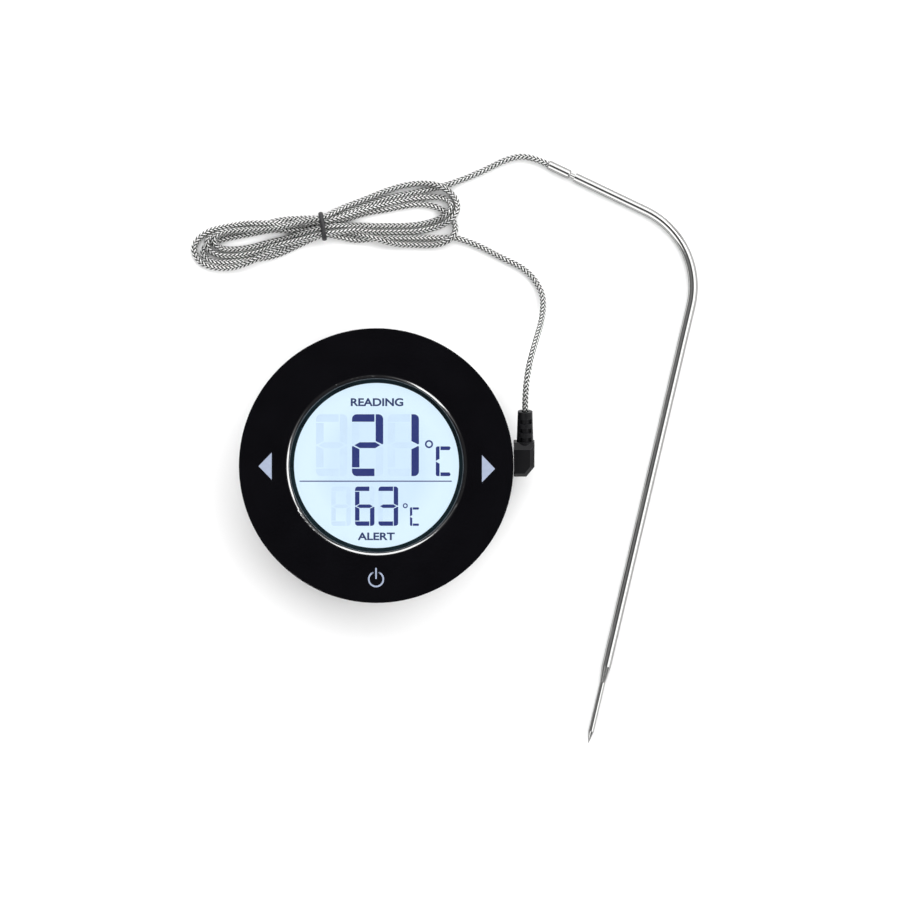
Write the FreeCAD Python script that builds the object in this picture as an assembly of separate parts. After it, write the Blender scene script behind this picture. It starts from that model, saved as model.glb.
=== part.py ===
import FreeCAD, Part

import math
import os
from types import SimpleNamespace

from FreeCAD import Vector

# A roasting thermometer: a round display unit, lying on its back with its face up, and a steel
# probe on a braided lead that plugs into the unit's side. Millimetres. The origin is the middle
# of the unit's flat back, +Z points out of its face, +Y to 12 o'clock and +X to its jack.

# ---- driving dimensions: the display unit ----
UNIT_R = 45.0            # outside radius
UNIT_H = 24.0            # back to face
SEAM_Z = 15.4            # where the front bezel meets the rear housing
SEAM_GROOVE = 0.35       # shadow gap along the seam
WALL = 2.2               # side walls
FACE_T = 2.2             # bezel's face
BACK_T = 2.0             # rear housing's back
FACE_ROUND = 0.12        # outer edge of the face
BACK_ROUND = 3.0         # outer edge of the back
WINDOW_R = 28.3          # opening in the bezel
WINDOW_ROUND = 1.4       # its rounded lip
SIDE_GAP = 0.1           # clearance between parts that are dropped into each other
BOARD_BOSS_R = 2.4       # bosses under the face for the board's screws, and their pilot holes
BOARD_PILOT_R = 0.85
POST_R = 2.8             # posts under the face for the housing's screws, and their pilot holes
POST_PILOT_R = 1.05
POST_REACH_R = 44.5      # the posts are trimmed to this radius
PILOT_ROOF = 1.2         # the pilot holes end this far below the face's underside

# ---- the display ----
LENS_RECESS = 1.1        # lens below the face
LENS_FLANGE_R = 31.0
LENS_FLANGE_T = 1.1
LENS_OVERLAP = 0.5       # the disc reaches this far down into the flange
GASKET_T = 0.2
GASKET_CLEAR = 0.3       # from the window's edge
LCD_HALF = 28.0          # half of the square glass
LCD_LEDGE = 2.5          # front glass runs past the rear one here, over the rubber connector
GLASS_T = 1.1
GLASS_TOP = 20.3
GUIDE_BOTTOM = 15.05
GUIDE_CORNER = 1.5
LED_X = (-10.0, 10.0)
LED_HALF_X = 2.0
LED_T = 1.0
LED_H = 1.6
LED_GAP = 0.2            # to the light guide
RUBBER_HALF_X = 22.0
RUBBER_T = 2.1
RUBBER_GAP = 0.3         # to the light guide and the rear glass
FRAME_HALF_X = 30.0
FRAME_Y = (-32.4, 30.6)
FRAME_R = 42.4           # its corners are cut to this radius
FRAME_OVER_GLASS = 0.1
LED_WINDOW_HALF_X = 2.5  # openings in the frame for the lamps
LED_WINDOW_H = 2.0
LED_WINDOW_Y = (-0.9, 1.4)   # from the light guide's edge

# ---- the circuit board and what is on it ----
BOARD_R = 41.8
BOARD_BOTTOM = 13.4
BOARD_T = 1.6
BOARD_SCREWS = [(sx * 35.7, sy * 13.0) for sx in (-1, 1) for sy in (-1, 1)]
HOUSING_SCREWS = [(-20.0, 34.0), (20.0, 34.0), (-33.0, -24.0), (33.0, -24.0)]
TOUCH_PADS = {"left": (-36.4, -0.4), "right": (36.4, -0.4), "power": (0.0, -37.0)}
TOUCH_PAD_R = 3.5
BOARD_HOLE_R = 0.95
BOARD_POST_HOLE_R = 3.4  # clears the housing's posts
BOARD_SCREW_R = 0.8
BOARD_SCREW_HEAD = (1.5, 1.0)    # radius, height
SCREW_TOP = UNIT_H - FACE_T - 2.3
CHIP_HALF_X = 5.0
CHIP_Y = (-25.0, -15.0)
CHIP_T = 1.4
CHIP_LEGS = 8            # on each side
CHIP_LEG_PITCH = 1.2
CHIP_LEG_HALF = 0.25
CHIP_LEG_REACH = 0.6
CHIP_LEG_T = 0.5
CRYSTAL = (-18.0, -14.0, -22.0, -14.0, 2.4)      # x, y, depth below the board
CAPACITOR = (-24.0, -14.0, 2.5, 5.0)             # x, y, radius, depth
BUZZER = (20.0, -20.0, 6.0, 5.2)                 # x, y, radius, depth
BUZZER_PORT_R = 1.0
BUZZER_PORT_DEPTH = 1.0

# ---- batteries, two AAA cells ----
CELL_R = 5.25
CELL_LENGTH = 44.5
CELL_NUB_R = 1.9
CELL_NUB_LENGTH = 1.2
CELL_Z = 7.1
CELL_Y = [10.2, 21.4]
TRAY_HALF_X = 26.2
TRAY_Y = (4.4, 27.2)
TRAY_TOP = 12.5
TRAY_WALLS = (1.6, 1.2, 1.4, 0.8)    # at its ends, its lower and upper side, and over it
CELL_ROUND = 0.6
CONTACT_T = 0.3
CONTACT_GAP = 0.05       # to the tray's end wall
CONTACT_HALF_Z = 2.5
CONTACT_TAIL_Z = 4.6     # the two single contacts reach up to here above the cells' axis
CONTACT_HALF_Y = 4.2
CROWN_HALF_Y = 1.4       # flat part that the cell touches
CROWN_GAP = 0.35         # from the cell's end to its far side

# ---- battery door, which slides towards +Y ----
DOOR_HALF_X = 27.0
DOOR_Y0 = 2.4
DOOR_BOTTOM = 0.2
DOOR_TOP = 1.65
TONGUE_REACH = 1.1
TONGUE_BOTTOM = 1.05
TONGUES_Y = [(6.0, 12.0), (26.5, 31.5)]
DOOR_TRAVEL = 13.0
DOOR_GAP = 0.1           # round the slab and its tongues
NOTCH_GAP = 0.5
DOOR_GRIPS = 5
DOOR_GRIP_Y = 30.0
DOOR_GRIP_PITCH = 1.8
DOOR_GRIP_WIDTH = 0.8
DOOR_GRIP_HALF_X = 7.0
DOOR_GRIP_DEPTH = 0.35

# ---- fold-out stand ----
STAND_HALF_X = 20.0
STAND_END_Y = -38.0
STAND_T = 1.8
STAND_BOTTOM = 0.3
HINGE_Y = -4.6
HINGE_Z = 2.6
HINGE_BARREL_R = 2.2
HINGE_PIN_R = 0.8
HINGE_PIN_HALF_X = 23.0
HINGE_PIN_GAP = 0.05
STAND_GAP = 0.25         # at its sides and round the hinge
STAND_DEPTH_GAP = 0.3    # at its end and above it
STAND_CORNER = 7.0
STAND_SLOT = (-11.0, 11.0, -28.0, -14.0)
STAND_SLOT_CORNER = 3.0
FINGER_R = 5.0           # ball that the finger notch is cut with
FINGER_Z = -2.2

# ---- inside of the rear housing ----
POCKET_ROOF = 1.5        # over the door and the hinge
STAND_ROOF = 1.7
DOOR_ROOF_X = 30.0
DOOR_ROOF_Y = 0.8
STAND_ROOF_BOX = (-22.5, 22.5, -41.0, 0.0)
HINGE_ROOF_X = 24.0
HINGE_ROOF_Y = 4.0
SCREW_BOSS_R = 3.0
SCREW_SINK_R = 2.5
SCREW_HOLE_R = 1.2
SCREW_SEAT_Z = 4.6
SCREW_R = 1.0
SCREW_HEAD_R = 2.2
SCREW_HEAD_Z = 3.0
SCREW_CROSS = (1.4, 0.3, 3.8)        # half length, half width, up to this height
MAGNET_X = 33.5
MAGNET_Y = -6.0
MAGNET_R = 5.0
MAGNET_Z = (1.2, 3.4)
MAGNET_BOSS_R = 6.2
MAGNET_BOSS_TOP = 4.4
SOUND_HOLES = [(24.5, -22.0), (24.5, -20.0), (24.5, -18.0)]
SOUND_HOLE_R = 0.6
OUT = 60.0               # past everything

# ---- 2.5 mm jack and its right-angle plug ----
JACK_Y = 2.0
JACK_Z = 11.0
PLUG_PIN_R = 1.25
JACK_BORE_R = 1.32
JACK_BORE_X = 32.5       # its blind end
JACK_BODY_X = (31.0, 42.3)
JACK_HALF_Y = 3.4
JACK_BELOW = 2.7         # body below the pin's axis
JACK_NOSE_R = 2.55
JACK_NOSE_X = (42.0, 44.6)
JACK_HOLE_R = 2.7        # in the housing's wall
TIP_SLOT = (33.3, 38.9, 1.0)     # x from and to, half width
TIP_LEAF = (33.6, 38.6, 0.8)
SLEEVE_SLOT = (39.3, 41.5, 1.0)
SLEEVE_SLOT_BELOW = 1.8
SLEEVE_LEAF = (39.5, 41.3, 0.8)
LEAF_T = 0.3
LEAF_GAP = 0.05          # between a leaf and the pin
PLUG_FACE_X = 45.1
PLUG_OUTER_X = 51.9
PLUG_Y = (-3.25, 8.2)
PLUG_HALF_T = 3.7
PLUG_CORNER = (2.65, 3.3) # cut off the outer corner, in X and Y
PLUG_BEVEL = 1.3
PLUG_SHOULDER = 1.9      # bevel at the end that the boot comes out of
PLUG_TILT = 15.0         # degrees that the plug is turned in the jack, its boot upwards
PIN_LENGTH = 11.1
PIN_ROOT = 2.2           # how far the pin is moulded into the plug
PIN_LINER_R = 0.75
PIN_CORE_R = 0.45
PIN_INSULATOR_X = 2.7    # from the pin's point
PIN_SLEEVE_X = 3.3
PIN_TIP = [(0.0, 0.4), (0.9, 1.2), (1.7, 0.9), (2.0, PLUG_PIN_R), (PIN_INSULATOR_X, PLUG_PIN_R)]
BOOT_X = 48.8
BOOT_Y = (6.5, 18.4)
BOOT_R = (2.8, 2.42)     # at those two places
BOOT_INNER_R = 1.7
BOOT_SPINES = (-1.9, 2.2)    # the slots stop at these distances from the lead, in X
BOOT_WEB = 0.7           # half thickness of the web between the upper and the lower slots
BOOT_SLOTS = [8.3, 11.35, 14.4]
BOOT_SLOT_WIDTH = 1.7

# ---- braided lead ----
CORD_D = 2.15
CORD_R = CORD_D / 2
PLUG_RUN = [
    (48.8, 17.84, 15.24), (48.8, 24.34, 16.98), (50.0, 33.0, 15.4), (52.4, 41.2, 10.6), (54.9, 49.4, 3.6),
    (55.0, 57.6, 1.1), (49.4, 65.0, 1.1), (41.4, 68.7, 1.1), (33.6, 72.9, 1.1), (26.2, 75.5, 1.1),
]
PROBE_RUN = [
    (56.58, 99.71, 1.5), (50.08, 102.81, 1.5), (42.9, 101.5, 1.3), (36.2, 98.0, 1.2), (29.5, 95.1, 1.2),
    (22.9, 92.8, 1.2),
]

# ---- hank: its outline about the tie, along and across its length ----
TIE_X = -18.1
TIE_Y = 79.2
HANK_TURN = 8.6          # degrees from +X
HANK_H = 5.0
HANK_WAIST = 3.75        # half width in the tie
HANK_OUTLINE = [
    (0.0, HANK_WAIST), (13.0, 6.4), (25.0, 9.8), (34.0, 10.5), (41.5, 7.8), (46.3, -1.0), (42.2, -10.8),
    (34.0, -12.6), (24.0, -9.8), (12.0, -5.8), (0.0, -HANK_WAIST), (-12.0, -6.2), (-22.0, -8.4),
    (-33.0, -9.6), (-42.0, -6.6), (-44.9, 0.0), (-41.0, 5.6), (-33.0, 6.7), (-20.0, 5.3), (-9.0, 4.1),
]
TIE_LONG = 9.1
TIE_WIDE = 1.8
TIE_H = 7.0
TIE_ROUND = 1.5

# ---- probe ----
PROBE_R = 1.5
PROBE_WALL = 0.3
FERRULE_LENGTH = 8.05
NECK_R = 0.8
NECK_LENGTH = 1.75
PROBE_START = (56.58, 99.71)
PROBE_TURN = -25.5       # degrees from +X at the ferrule
HANDLE_LENGTH = 26.05
BEND_R = 27.6
BEND_TURN = 77.7         # degrees, clockwise
SHAFT_LENGTH = 122.95
TAPER_LENGTH = 5.4
NEEDLE_R = 0.9
NEEDLE_LENGTH = 16.7
POINT_LENGTH = 4.0
POINT_R = 0.12
FERRULE_ROUND = 0.5
END_WALL = 0.5           # the tube's closed handle end
WIRE_BORE_R = 0.5        # hole for the wires through the ferrule and neck
TIP_BORE_R = 0.65
WIRES_R = 0.4
BEAD_R = 0.6
BEAD_LENGTH = 3.0
BEAD_BACK = 4.0          # from the sensor's near end to the needle's point cone


def box(x0, x1, y0, y1, z0, z1):
    return Part.makeBox(x1 - x0, y1 - y0, z1 - z0, Vector(x0, y0, z0))


def disc(r, z0, z1, x=0.0, y=0.0):
    return Part.makeCylinder(r, z1 - z0, Vector(x, y, z0))


def ring(outer, inner, z0, z1):
    return disc(outer, z0, z1).cut(disc(inner, z0, z1))


def rod_x(r, x0, x1, y, z):
    return Part.makeCylinder(r, x1 - x0, Vector(x0, y, z), Vector(1, 0, 0))


def edges_at(shape, z, radius):
    """The circular edges of a shape at that height and radius."""
    return [e for e in shape.Edges if isinstance(e.Curve, Part.Circle)
            and abs(e.Curve.Center.z - z) < 1e-6 and abs(e.Curve.Radius - radius) < 1e-6]


def upright_edges(shape):
    return [e for e in shape.Edges if abs(e.Vertexes[0].Z - e.Vertexes[-1].Z) > 1]


def export(name, shape):
    assert shape.isValid(), name
    shape.exportStep("parts/" + name + ".step")
    print(f"{name}: {len(shape.Solids)} solid(s), {shape.Volume:.1f} mm3")


# ---- front of the unit ----
def envelope():
    """The puck that both housings are cut from."""
    puck = disc(UNIT_R, 0, UNIT_H)
    puck = puck.makeFillet(FACE_ROUND, edges_at(puck, UNIT_H, UNIT_R))
    return puck.makeFillet(BACK_ROUND, edges_at(puck, 0, UNIT_R))


def front_bezel():
    underside = UNIT_H - FACE_T
    bezel = envelope().common(disc(UNIT_R + 1, SEAM_Z, UNIT_H))
    bezel = bezel.cut(disc(UNIT_R - WALL, SEAM_Z, underside))
    for x, y in BOARD_SCREWS:
        bezel = bezel.fuse(disc(BOARD_BOSS_R, BOARD_BOTTOM + BOARD_T, underside, x, y))
        bezel = bezel.cut(disc(BOARD_PILOT_R, 0, underside - PILOT_ROOF, x, y))
    for x, y in HOUSING_SCREWS:
        post = disc(POST_R, SEAM_Z, underside, x, y).common(disc(POST_REACH_R, SEAM_Z, underside))
        bezel = bezel.fuse(post).cut(disc(POST_PILOT_R, 0, underside - PILOT_ROOF, x, y))
    bezel = bezel.cut(disc(WINDOW_R, SEAM_Z, UNIT_H))
    return bezel.makeFillet(WINDOW_ROUND, edges_at(bezel, UNIT_H, WINDOW_R))


def display_lens():
    flange_top = UNIT_H - FACE_T - GASKET_T
    lens = disc(WINDOW_R - SIDE_GAP, flange_top - LENS_OVERLAP, UNIT_H - LENS_RECESS)
    return lens.fuse(disc(LENS_FLANGE_R, flange_top - LENS_FLANGE_T, flange_top)).removeSplitter()


def lens_gasket():
    top = UNIT_H - FACE_T
    return ring(LENS_FLANGE_R, WINDOW_R + GASKET_CLEAR, top - GASKET_T, top)


# ---- display stack ----
def lcd_front_glass():
    return box(-LCD_HALF, LCD_HALF, -LCD_HALF - LCD_LEDGE, LCD_HALF, GLASS_TOP - GLASS_T, GLASS_TOP)


def lcd_rear_glass():
    top = GLASS_TOP - GLASS_T
    return box(-LCD_HALF, LCD_HALF, -LCD_HALF, LCD_HALF, top - GLASS_T, top)


def light_guide():
    top = GLASS_TOP - 2 * GLASS_T
    guide = box(-LCD_HALF, LCD_HALF, -LCD_HALF, LCD_HALF, GUIDE_BOTTOM, top)
    return guide.makeChamfer(GUIDE_CORNER, upright_edges(guide))


def backlight_leds():
    board_top = BOARD_BOTTOM + BOARD_T
    y = LCD_HALF + LED_GAP
    return [box(x - LED_HALF_X, x + LED_HALF_X, y, y + LED_T, board_top, board_top + LED_H) for x in LED_X]


def rubber_connector():
    board_top = BOARD_BOTTOM + BOARD_T
    y = -LCD_HALF - RUBBER_GAP
    return box(-RUBBER_HALF_X, RUBBER_HALF_X, y - RUBBER_T, y, board_top, GLASS_TOP - GLASS_T)


def lcd_frame():
    board_top = BOARD_BOTTOM + BOARD_T
    top = GLASS_TOP + FRAME_OVER_GLASS
    inner = LCD_HALF + SIDE_GAP
    frame = box(-FRAME_HALF_X, FRAME_HALF_X, *FRAME_Y, board_top, top).common(disc(FRAME_R, board_top, top))
    frame = frame.cut(box(-inner, inner, -inner - LCD_LEDGE, inner, 0, UNIT_H))
    y0, y1 = (LCD_HALF + y for y in LED_WINDOW_Y)
    for x in LED_X:
        window = box(x - LED_WINDOW_HALF_X, x + LED_WINDOW_HALF_X, y0, y1, 0, board_top + LED_WINDOW_H)
        frame = frame.cut(window)
    return frame


# ---- board ----
def circuit_board():
    board = disc(BOARD_R, BOARD_BOTTOM, BOARD_BOTTOM + BOARD_T)
    for x, y in BOARD_SCREWS:
        board = board.cut(disc(BOARD_HOLE_R, 0, UNIT_H, x, y))
    for x, y in HOUSING_SCREWS:
        board = board.cut(disc(BOARD_POST_HOLE_R, 0, UNIT_H, x, y))
    return board


def touch_pad(place):
    x, y = place
    return disc(TOUCH_PAD_R, BOARD_BOTTOM + BOARD_T, UNIT_H - FACE_T, x, y)


def board_screws():
    head_r, head_h = BOARD_SCREW_HEAD
    return [disc(head_r, BOARD_BOTTOM - head_h, BOARD_BOTTOM, x, y).fuse(
        disc(BOARD_SCREW_R, BOARD_BOTTOM, SCREW_TOP, x, y)) for x, y in BOARD_SCREWS]


def controller_chip():
    chip = box(-CHIP_HALF_X, CHIP_HALF_X, *CHIP_Y, BOARD_BOTTOM - CHIP_T, BOARD_BOTTOM)
    middle = sum(CHIP_Y) / 2
    for i in range(CHIP_LEGS):
        y = middle + CHIP_LEG_PITCH * (i - (CHIP_LEGS - 1) / 2)
        for side in (-1, 1):
            x0, x1 = sorted((side * CHIP_HALF_X, side * (CHIP_HALF_X + CHIP_LEG_REACH)))
            leg = box(x0, x1, y - CHIP_LEG_HALF, y + CHIP_LEG_HALF, BOARD_BOTTOM - CHIP_LEG_T, BOARD_BOTTOM)
            chip = chip.fuse(leg)
    return chip


def quartz_crystal():
    *footprint, depth = CRYSTAL
    return box(*footprint, BOARD_BOTTOM - depth, BOARD_BOTTOM)


def filter_capacitor():
    x, y, r, depth = CAPACITOR
    return disc(r, BOARD_BOTTOM - depth, BOARD_BOTTOM, x, y)


def buzzer():
    x, y, r, depth = BUZZER
    bottom = BOARD_BOTTOM - depth
    port = disc(BUZZER_PORT_R, bottom, bottom + BUZZER_PORT_DEPTH, x, y)
    return disc(r, bottom, BOARD_BOTTOM, x, y).cut(port)


# ---- jack ----
def jack_socket():
    body = box(*JACK_BODY_X, JACK_Y - JACK_HALF_Y, JACK_Y + JACK_HALF_Y, JACK_Z - JACK_BELOW, BOARD_BOTTOM)
    body = body.fuse(rod_x(JACK_NOSE_R, *JACK_NOSE_X, JACK_Y, JACK_Z))
    body = body.cut(rod_x(JACK_BORE_R, JACK_BORE_X, UNIT_R, JACK_Y, JACK_Z))
    x0, x1, half = TIP_SLOT
    body = body.cut(box(x0, x1, JACK_Y - half, JACK_Y + half, JACK_Z, BOARD_BOTTOM))
    x0, x1, half = SLEEVE_SLOT
    return body.cut(box(x0, x1, JACK_Y - JACK_HALF_Y, JACK_Y + half, JACK_Z - SLEEVE_SLOT_BELOW, JACK_Z))


def jack_tip_contact():
    bottom = JACK_Z + PLUG_PIN_R + LEAF_GAP
    x0, x1, half = TIP_LEAF
    spring = box(x0, x1, JACK_Y - half, JACK_Y + half, bottom, bottom + LEAF_T)
    return spring.fuse(box(x0, x0 + LEAF_T, JACK_Y - half, JACK_Y + half, bottom, BOARD_BOTTOM))


def jack_sleeve_contact():
    """A leaf below the pin, and its leg outside the body, up to the board."""
    top = JACK_Z - PLUG_PIN_R - LEAF_GAP
    leg_y = JACK_Y - JACK_HALF_Y - SIDE_GAP
    x0, x1, half = SLEEVE_LEAF
    spring = box(x0, x1, leg_y - LEAF_T, JACK_Y + half, top - LEAF_T, top)
    return spring.fuse(box(x0, x1, leg_y - LEAF_T, leg_y, top - LEAF_T, BOARD_BOTTOM))


# ---- rear of the unit ----
def door_cut():
    """The space that the door and its tongues slide in, open towards +Y. After the door's travel the
    inner tongues meet a notch in the ledges and the outer ones are past the rim, so it lifts off."""
    wide = DOOR_HALF_X + DOOR_GAP
    reach = DOOR_HALF_X + TONGUE_REACH + 2 * DOOR_GAP
    start, top = DOOR_Y0 - DOOR_GAP, DOOR_TOP + DOOR_GAP
    near, far = (y + DOOR_TRAVEL for y in TONGUES_Y[0])
    pocket = box(-wide, wide, start, OUT, -1, top)
    groove = box(-reach, reach, start, OUT, TONGUE_BOTTOM - DOOR_GAP, top)
    notch = box(-reach, reach, near - NOTCH_GAP, far + NOTCH_GAP, -1, DOOR_TOP)
    return pocket.fuse([groove, notch])


def stand_cut():
    """The pocket that the stand folds into, with a finger notch at its free end."""
    side = STAND_HALF_X + STAND_GAP
    barrel_r = HINGE_BARREL_R + STAND_GAP
    top = STAND_BOTTOM + STAND_T + STAND_DEPTH_GAP
    pocket = box(-side, side, STAND_END_Y - STAND_DEPTH_GAP, HINGE_Y, -1, top)
    barrel = rod_x(barrel_r, -side, side, HINGE_Y, HINGE_Z)
    under = box(-side, side, HINGE_Y - barrel_r, HINGE_Y + barrel_r, -1, HINGE_Z)
    finger = Part.makeSphere(FINGER_R, Vector(0, STAND_END_Y + 1, FINGER_Z))
    return pocket.fuse([barrel, under, finger])


def magnet_places():
    return [(side * MAGNET_X, MAGNET_Y) for side in (-1, 1)]


def inner_walls():
    """What stands up from the back: the battery tray, the roofs of the pockets, and the bosses."""
    end, low, high, over = TRAY_WALLS
    side = TRAY_HALF_X + end
    tray = box(-side, side, TRAY_Y[0] - low, TRAY_Y[1] + high, BACK_T, TRAY_TOP + over)
    over_door = box(-DOOR_ROOF_X, DOOR_ROOF_X, DOOR_ROOF_Y, UNIT_R, BACK_T, DOOR_TOP + POCKET_ROOF)
    over_stand = box(*STAND_ROOF_BOX, BACK_T, STAND_BOTTOM + STAND_T + STAND_ROOF)
    over_hinge = box(-HINGE_ROOF_X, HINGE_ROOF_X, HINGE_Y - HINGE_ROOF_Y, HINGE_Y + HINGE_ROOF_Y, BACK_T,
                     HINGE_Z + HINGE_BARREL_R + POCKET_ROOF)
    walls = [tray, over_door, over_stand, over_hinge]
    walls += [disc(SCREW_BOSS_R, BACK_T, SEAM_Z, x, y) for x, y in HOUSING_SCREWS]
    return walls + [disc(MAGNET_BOSS_R, BACK_T, MAGNET_BOSS_TOP, x, y) for x, y in magnet_places()]


def rear_cuts():
    cuts = [box(-TRAY_HALF_X, TRAY_HALF_X, *TRAY_Y, -1, TRAY_TOP), door_cut(), stand_cut()]
    for x, y in HOUSING_SCREWS:
        cuts += [disc(SCREW_SINK_R, -1, SCREW_SEAT_Z, x, y), disc(SCREW_HOLE_R, 0, SEAM_Z + 1, x, y)]
    cuts += [disc(MAGNET_R + SIDE_GAP, MAGNET_Z[0], MAGNET_BOSS_TOP + 1, x, y) for x, y in magnet_places()]
    cuts += [disc(SOUND_HOLE_R, -1, BACK_T + 1, x, y) for x, y in SOUND_HOLES]
    cuts += [rod_x(JACK_HOLE_R, BOARD_R - SIDE_GAP, OUT, JACK_Y, JACK_Z)]
    return cuts + [rod_x(HINGE_PIN_R, -HINGE_PIN_HALF_X, HINGE_PIN_HALF_X, HINGE_Y, HINGE_Z)]


def rear_housing():
    inside_r = UNIT_R - WALL
    shell = envelope().common(disc(UNIT_R + 1, 0, SEAM_Z)).cut(disc(inside_r, BACK_T, SEAM_Z))
    within = disc(inside_r + 0.5, 0, SEAM_Z)
    shell = shell.fuse([wall.common(within) for wall in inner_walls()])
    groove = ring(UNIT_R + 1, UNIT_R - SEAM_GROOVE, SEAM_Z - SEAM_GROOVE, SEAM_Z)
    return shell.cut(rear_cuts()).cut(groove).removeSplitter()


def housing_screws():
    half_long, half_wide, cross_top = SCREW_CROSS
    screws = []
    for x, y in HOUSING_SCREWS:
        screw = disc(SCREW_HEAD_R, SCREW_HEAD_Z, SCREW_SEAT_Z, x, y)
        screw = screw.fuse(disc(SCREW_R, SCREW_SEAT_Z, SCREW_TOP, x, y))
        for along, across in ((half_long, half_wide), (half_wide, half_long)):
            screw = screw.cut(box(x - along, x + along, y - across, y + across, SCREW_HEAD_Z - 1, cross_top))
        screws.append(screw)
    return screws


def magnet(side):
    return disc(MAGNET_R, *MAGNET_Z, side * MAGNET_X, MAGNET_Y)


def battery(y, turn):
    """One cell along X, with its positive end towards turn."""
    half = CELL_LENGTH / 2
    tip = half - CELL_NUB_LENGTH
    can = rod_x(CELL_R, -half, tip, y, CELL_Z)
    can = can.makeFillet(CELL_ROUND, [e for e in can.Edges if isinstance(e.Curve, Part.Circle)])
    cell = can.fuse(rod_x(CELL_NUB_R, tip - 1, half, y, CELL_Z))
    return cell if turn > 0 else cell.mirror(Vector(0, y, 0), Vector(1, 0, 0))


def crown(side, y):
    """The springy part of a contact, bowed from the tray's end wall towards the cell."""
    wall = side * (TRAY_HALF_X - CONTACT_GAP)
    top = side * (CELL_LENGTH / 2 + CROWN_GAP)
    t = side * CONTACT_T
    rise = [(wall, y - CONTACT_HALF_Y), (top, y - CROWN_HALF_Y), (top, y + CROWN_HALF_Y),
            (wall, y + CONTACT_HALF_Y)]
    outline = rise + [(x - t, v) for x, v in reversed(rise)]
    corners = [Vector(x, v, CELL_Z - CONTACT_HALF_Z) for x, v in outline]
    return Part.Face(Part.makePolygon(corners + corners[:1])).extrude(Vector(0, 0, 2 * CONTACT_HALF_Z))


def battery_contact_bridge():
    wall = -TRAY_HALF_X + CONTACT_GAP
    strip = box(wall, wall + CONTACT_T, CELL_Y[0] - CONTACT_HALF_Y, CELL_Y[1] + CONTACT_HALF_Y,
                CELL_Z - CONTACT_HALF_Z, CELL_Z + CONTACT_HALF_Z)
    return strip.fuse([crown(-1, y) for y in CELL_Y])


def battery_contact(y):
    wall = TRAY_HALF_X - CONTACT_GAP
    strip = box(wall - CONTACT_T, wall, y - CONTACT_HALF_Y, y + CONTACT_HALF_Y, CELL_Z - CONTACT_HALF_Z,
                CELL_Z + CONTACT_TAIL_Z)
    return strip.fuse(crown(1, y))


def battery_door():
    slab = box(-DOOR_HALF_X, DOOR_HALF_X, DOOR_Y0, OUT, DOOR_BOTTOM, DOOR_TOP).common(envelope())
    for y0, y1 in TONGUES_Y:
        for side in (-1, 1):
            x0, x1 = sorted((side * (DOOR_HALF_X - 1), side * (DOOR_HALF_X + TONGUE_REACH)))
            slab = slab.fuse(box(x0, x1, y0, y1, TONGUE_BOTTOM, DOOR_TOP))
    for i in range(DOOR_GRIPS):
        y = DOOR_GRIP_Y + DOOR_GRIP_PITCH * i
        slab = slab.cut(box(-DOOR_GRIP_HALF_X, DOOR_GRIP_HALF_X, y, y + DOOR_GRIP_WIDTH, 0,
                            DOOR_BOTTOM + DOOR_GRIP_DEPTH))
    return slab.removeSplitter()


# ---- stand ----
def stand():
    flap = box(-STAND_HALF_X, STAND_HALF_X, STAND_END_Y, HINGE_Y, STAND_BOTTOM, STAND_BOTTOM + STAND_T)
    free = [e for e in upright_edges(flap) if abs(e.Vertexes[0].Y - STAND_END_Y) < 0.01]
    flap = flap.makeFillet(STAND_CORNER, free)
    slot = box(*STAND_SLOT, -1, STAND_BOTTOM + STAND_T + 1)
    slot = slot.makeFillet(STAND_SLOT_CORNER, upright_edges(slot))
    flap = flap.cut(slot).fuse(rod_x(HINGE_BARREL_R, -STAND_HALF_X, STAND_HALF_X, HINGE_Y, HINGE_Z))
    return flap.cut(rod_x(HINGE_PIN_R + HINGE_PIN_GAP, -OUT, OUT, HINGE_Y, HINGE_Z)).removeSplitter()


def stand_hinge_pin():
    return rod_x(HINGE_PIN_R, -HINGE_PIN_HALF_X, HINGE_PIN_HALF_X, HINGE_Y, HINGE_Z)


# ---- plug ----
def turned_in_jack(shape):
    shape.rotate(Vector(0, JACK_Y, JACK_Z), Vector(1, 0, 0), PLUG_TILT)
    return shape


def plug_block():
    """The moulded body before it is turned: a slab with one corner cut off and its outer edges bevelled."""
    (y0, y1), (cut_x, cut_y) = PLUG_Y, PLUG_CORNER
    outline = [(PLUG_FACE_X, y0), (PLUG_OUTER_X - cut_x, y0), (PLUG_OUTER_X, y0 + cut_y), (PLUG_OUTER_X, y1),
               (PLUG_FACE_X, y1)]
    corners = [Vector(x, y, JACK_Z - PLUG_HALF_T) for x, y in outline]
    block = Part.Face(Part.makePolygon(corners + corners[:1])).extrude(Vector(0, 0, 2 * PLUG_HALF_T))
    level = [e for e in block.Edges if abs(e.Vertexes[0].Z - e.Vertexes[-1].Z) < 0.01]
    outer = [e for e in level if e.CenterOfMass.x > PLUG_FACE_X + 0.01 and e.CenterOfMass.y < y1 - 0.01]
    block = block.makeChamfer(PLUG_BEVEL, outer)
    shoulder = [e for e in block.Edges if all(abs(v.Y - y1) < 0.01 for v in e.Vertexes)
                and abs(abs(e.CenterOfMass.z - JACK_Z) - PLUG_HALF_T) < 0.01]
    return block.makeChamfer(PLUG_SHOULDER, shoulder)


def plug_body():
    block = plug_block()
    return turned_in_jack(block.cut(rod_x(PLUG_PIN_R, PLUG_FACE_X, PLUG_FACE_X + PIN_ROOT, JACK_Y, JACK_Z)))


def plug_sleeve():
    start = PLUG_FACE_X - PIN_LENGTH + PIN_SLEEVE_X
    shell = rod_x(PLUG_PIN_R, start, PLUG_FACE_X + PIN_ROOT, JACK_Y, JACK_Z)
    return shell.cut(rod_x(PIN_LINER_R, start, PLUG_FACE_X + PIN_ROOT, JACK_Y, JACK_Z))


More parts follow.
